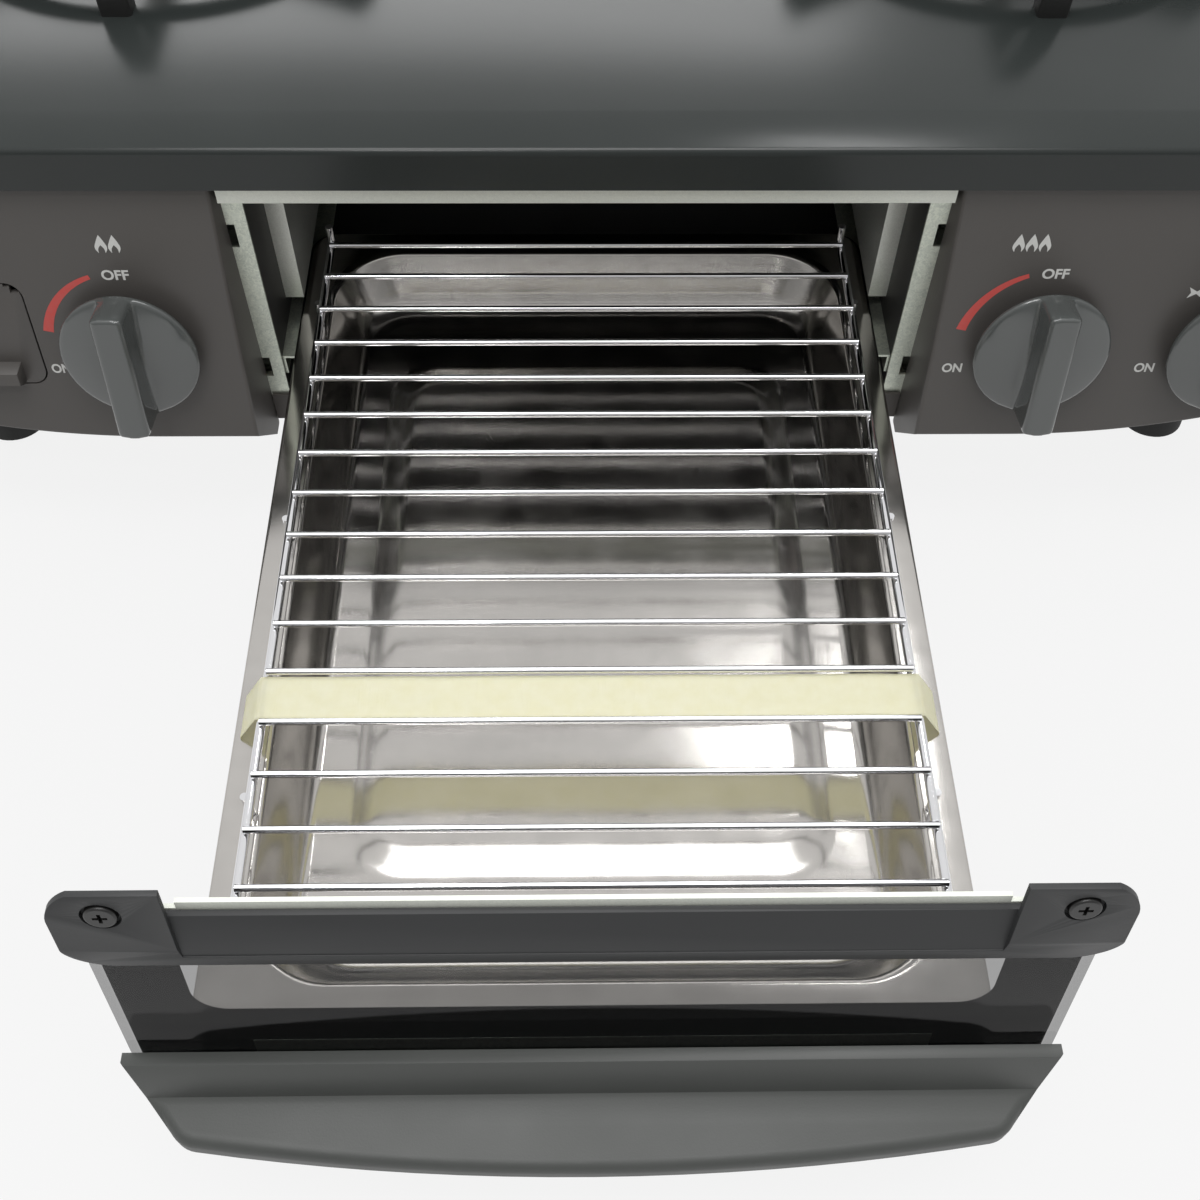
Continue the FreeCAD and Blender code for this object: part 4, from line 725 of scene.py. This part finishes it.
# Door bar: the black phenolic strip over the glass, with an ear and a black screw at each end.
# It came out of its mould with soft edges and a fine grain, so it is matt and never quite black.
black_plastic = moulded("matt_black_phenolic", "#242526", "#2b2c2d", 0.5 * MM, 0.5, 0.05 * MM)
cover("door_bar", "door_bar_moulded", 0.5 * MM, black_plastic, "drawer", "black_plastic")
black_steel = moulded("blackened_screw_steel", "#131313", "#1e1d1c", 0.6 * MM, 0.32, 0.02 * MM)
dress(black_steel, "door_screws")

# Handle: moulded phenolic with a light back lip, a steep slope and a broad resting face.
# A fine texture makes it matt, and its soft edges show as thin light lines.
handle_plastic = moulded("textured_phenolic_grey", "#414341", "#484a48", 0.6 * MM, 0.42, 0.05 * MM)
cover("door_handle", "handle_moulded", 0.4 * MM, handle_plastic, "drawer", "handle_plastic")

# Burners: sand-cast aluminium bowls with brass caps, an enamelled ring dish round each, and a sprung
# steel sensor in the middle.


def cast(name, colour, pale, metallic, rough, grain, depth):
    """Cast metal: pores and a skin that the mould left, duller in the hollows."""
    material, tree = blank(name)
    spot = add(tree, "ShaderNodeTexCoord", {}).outputs["Object"]
    skin = add(tree, "ShaderNodeTexNoise", {"Vector": spot, "Scale": 1 / grain, "Detail": 5.0})
    cloud = add(tree, "ShaderNodeTexNoise", {"Vector": spot, "Scale": 1 / (15 * MM), "Detail": 3.0})
    tone = add(tree, "ShaderNodeMix", {0: cloud.outputs[0], 6: colour, 7: pale}, data_type="RGBA")
    gloss = add(tree, "ShaderNodeMapRange", {0: skin.outputs[0], 3: rough, 4: rough + 0.15})
    bump = add(tree, "ShaderNodeBump", {"Height": skin.outputs[0], "Strength": 0.5, "Distance": depth})
    finish(tree, add(tree, "ShaderNodeBsdfPrincipled", {
        "Base Color": tone.outputs[2], "Metallic": metallic, "Roughness": gloss.outputs[0],
        "Normal": bump.outputs[0]}))
    return material


aluminium = cast("cast_aluminium", "#a7a8a6", "#b7b8b6", 1.0, 0.38, 1.2 * MM, 0.12 * MM)
brass = cast("pressed_brass", "#b8975a", "#c8a868", 1.0, 0.28, 0.8 * MM, 0.04 * MM)
bright_steel = cast("drawn_steel", "#b5b5b3", "#c6c6c4", 1.0, 0.25, 0.7 * MM, 0.03 * MM)
iron_enamel = cast("matt_enamel_on_cast_iron", "#1d1d1d", "#262625", 0.0, 0.34, 1.4 * MM, 0.18 * MM)
dress(aluminium, "burner_left", "burner_right", "valve_left", "valve_right", "valve_grill", "igniter_box")
dress(brass, "nozzles", "gas_inlet")
dress(bright_steel, "gas_manifold", "grill_pipe", "thermocouples", "spindle_left", "spindle_right",
      "spindle_grill", "valve_pin_left", "valve_pin_right", "valve_pin_grill")
for side in ("left", "right"):
    cover("burner_cap_" + side, "cap_" + side, 0.25 * MM, brass, "burner_cap_" + side, "brass", 2)
    cover("temp_sensor_" + side, "sensor_" + side, 0.25 * MM, bright_steel, "temp_sensor_" + side,
          "steel", 2)
    coil = cover("sensor_spring_" + side, "coil_spring_" + side, 0, bright_steel, "stove", "steel")
    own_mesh(coil)
    cover("drip_ring_" + side, "ring_dish_" + side, 0, enamel, "drip_ring_" + side, "enamel_black")

# Trivets: cast iron rings with six claws, which stand on the top plate round each burner.
# They were dipped in a matt black enamel, through which the grain of the sand mould shows.
for side in ("left", "right"):
    cover("trivet_" + side, "pan_support_" + side, 0, iron_enamel, "trivet_" + side, "cast_black")

# Exhaust cover: a pressed steel lid with slots that lies over the grill's flue.
# It has the same glossy enamel as the top plate, and its pressed edges are soft.
cover("exhaust_cover", "flue_cover", 0.5 * MM, enamel, "exhaust_cover", "enamel_black")

# Body: pre-painted steel bent round the sides and the back, on four rubber feet.
# The paint is a silver grey with a slight orange peel, and the rubber is matt and dark.
body_paint = moulded("silver_grey_paint_on_steel", "#8b8c8c", "#939494", 1.0 * MM, 0.36, 0.02 * MM)
dress(body_paint, "body_shell")
rubber = moulded("black_rubber", "#191919", "#202020", 0.8 * MM, 0.7, 0.06 * MM)
dress(rubber, "feet")

# Inside pieces: white glazed ceramic sleeves, a moulded battery box, and two cells in a printed skin.
# The glaze is smooth and glossy, and the skin of the cells is a plain shiny film.
glaze = cast("glazed_ceramic", "#e6e3db", "#efece5", 0.0, 0.18, 1.0 * MM, 0.02 * MM)
dress(glaze, "electrodes")
dress(black_plastic, "battery_case")
cell_skin = moulded("printed_cell_skin", "#1f3f6b", "#254a7c", 1.0 * MM, 0.3, 0.01 * MM)
dress(cell_skin, "battery_cells")
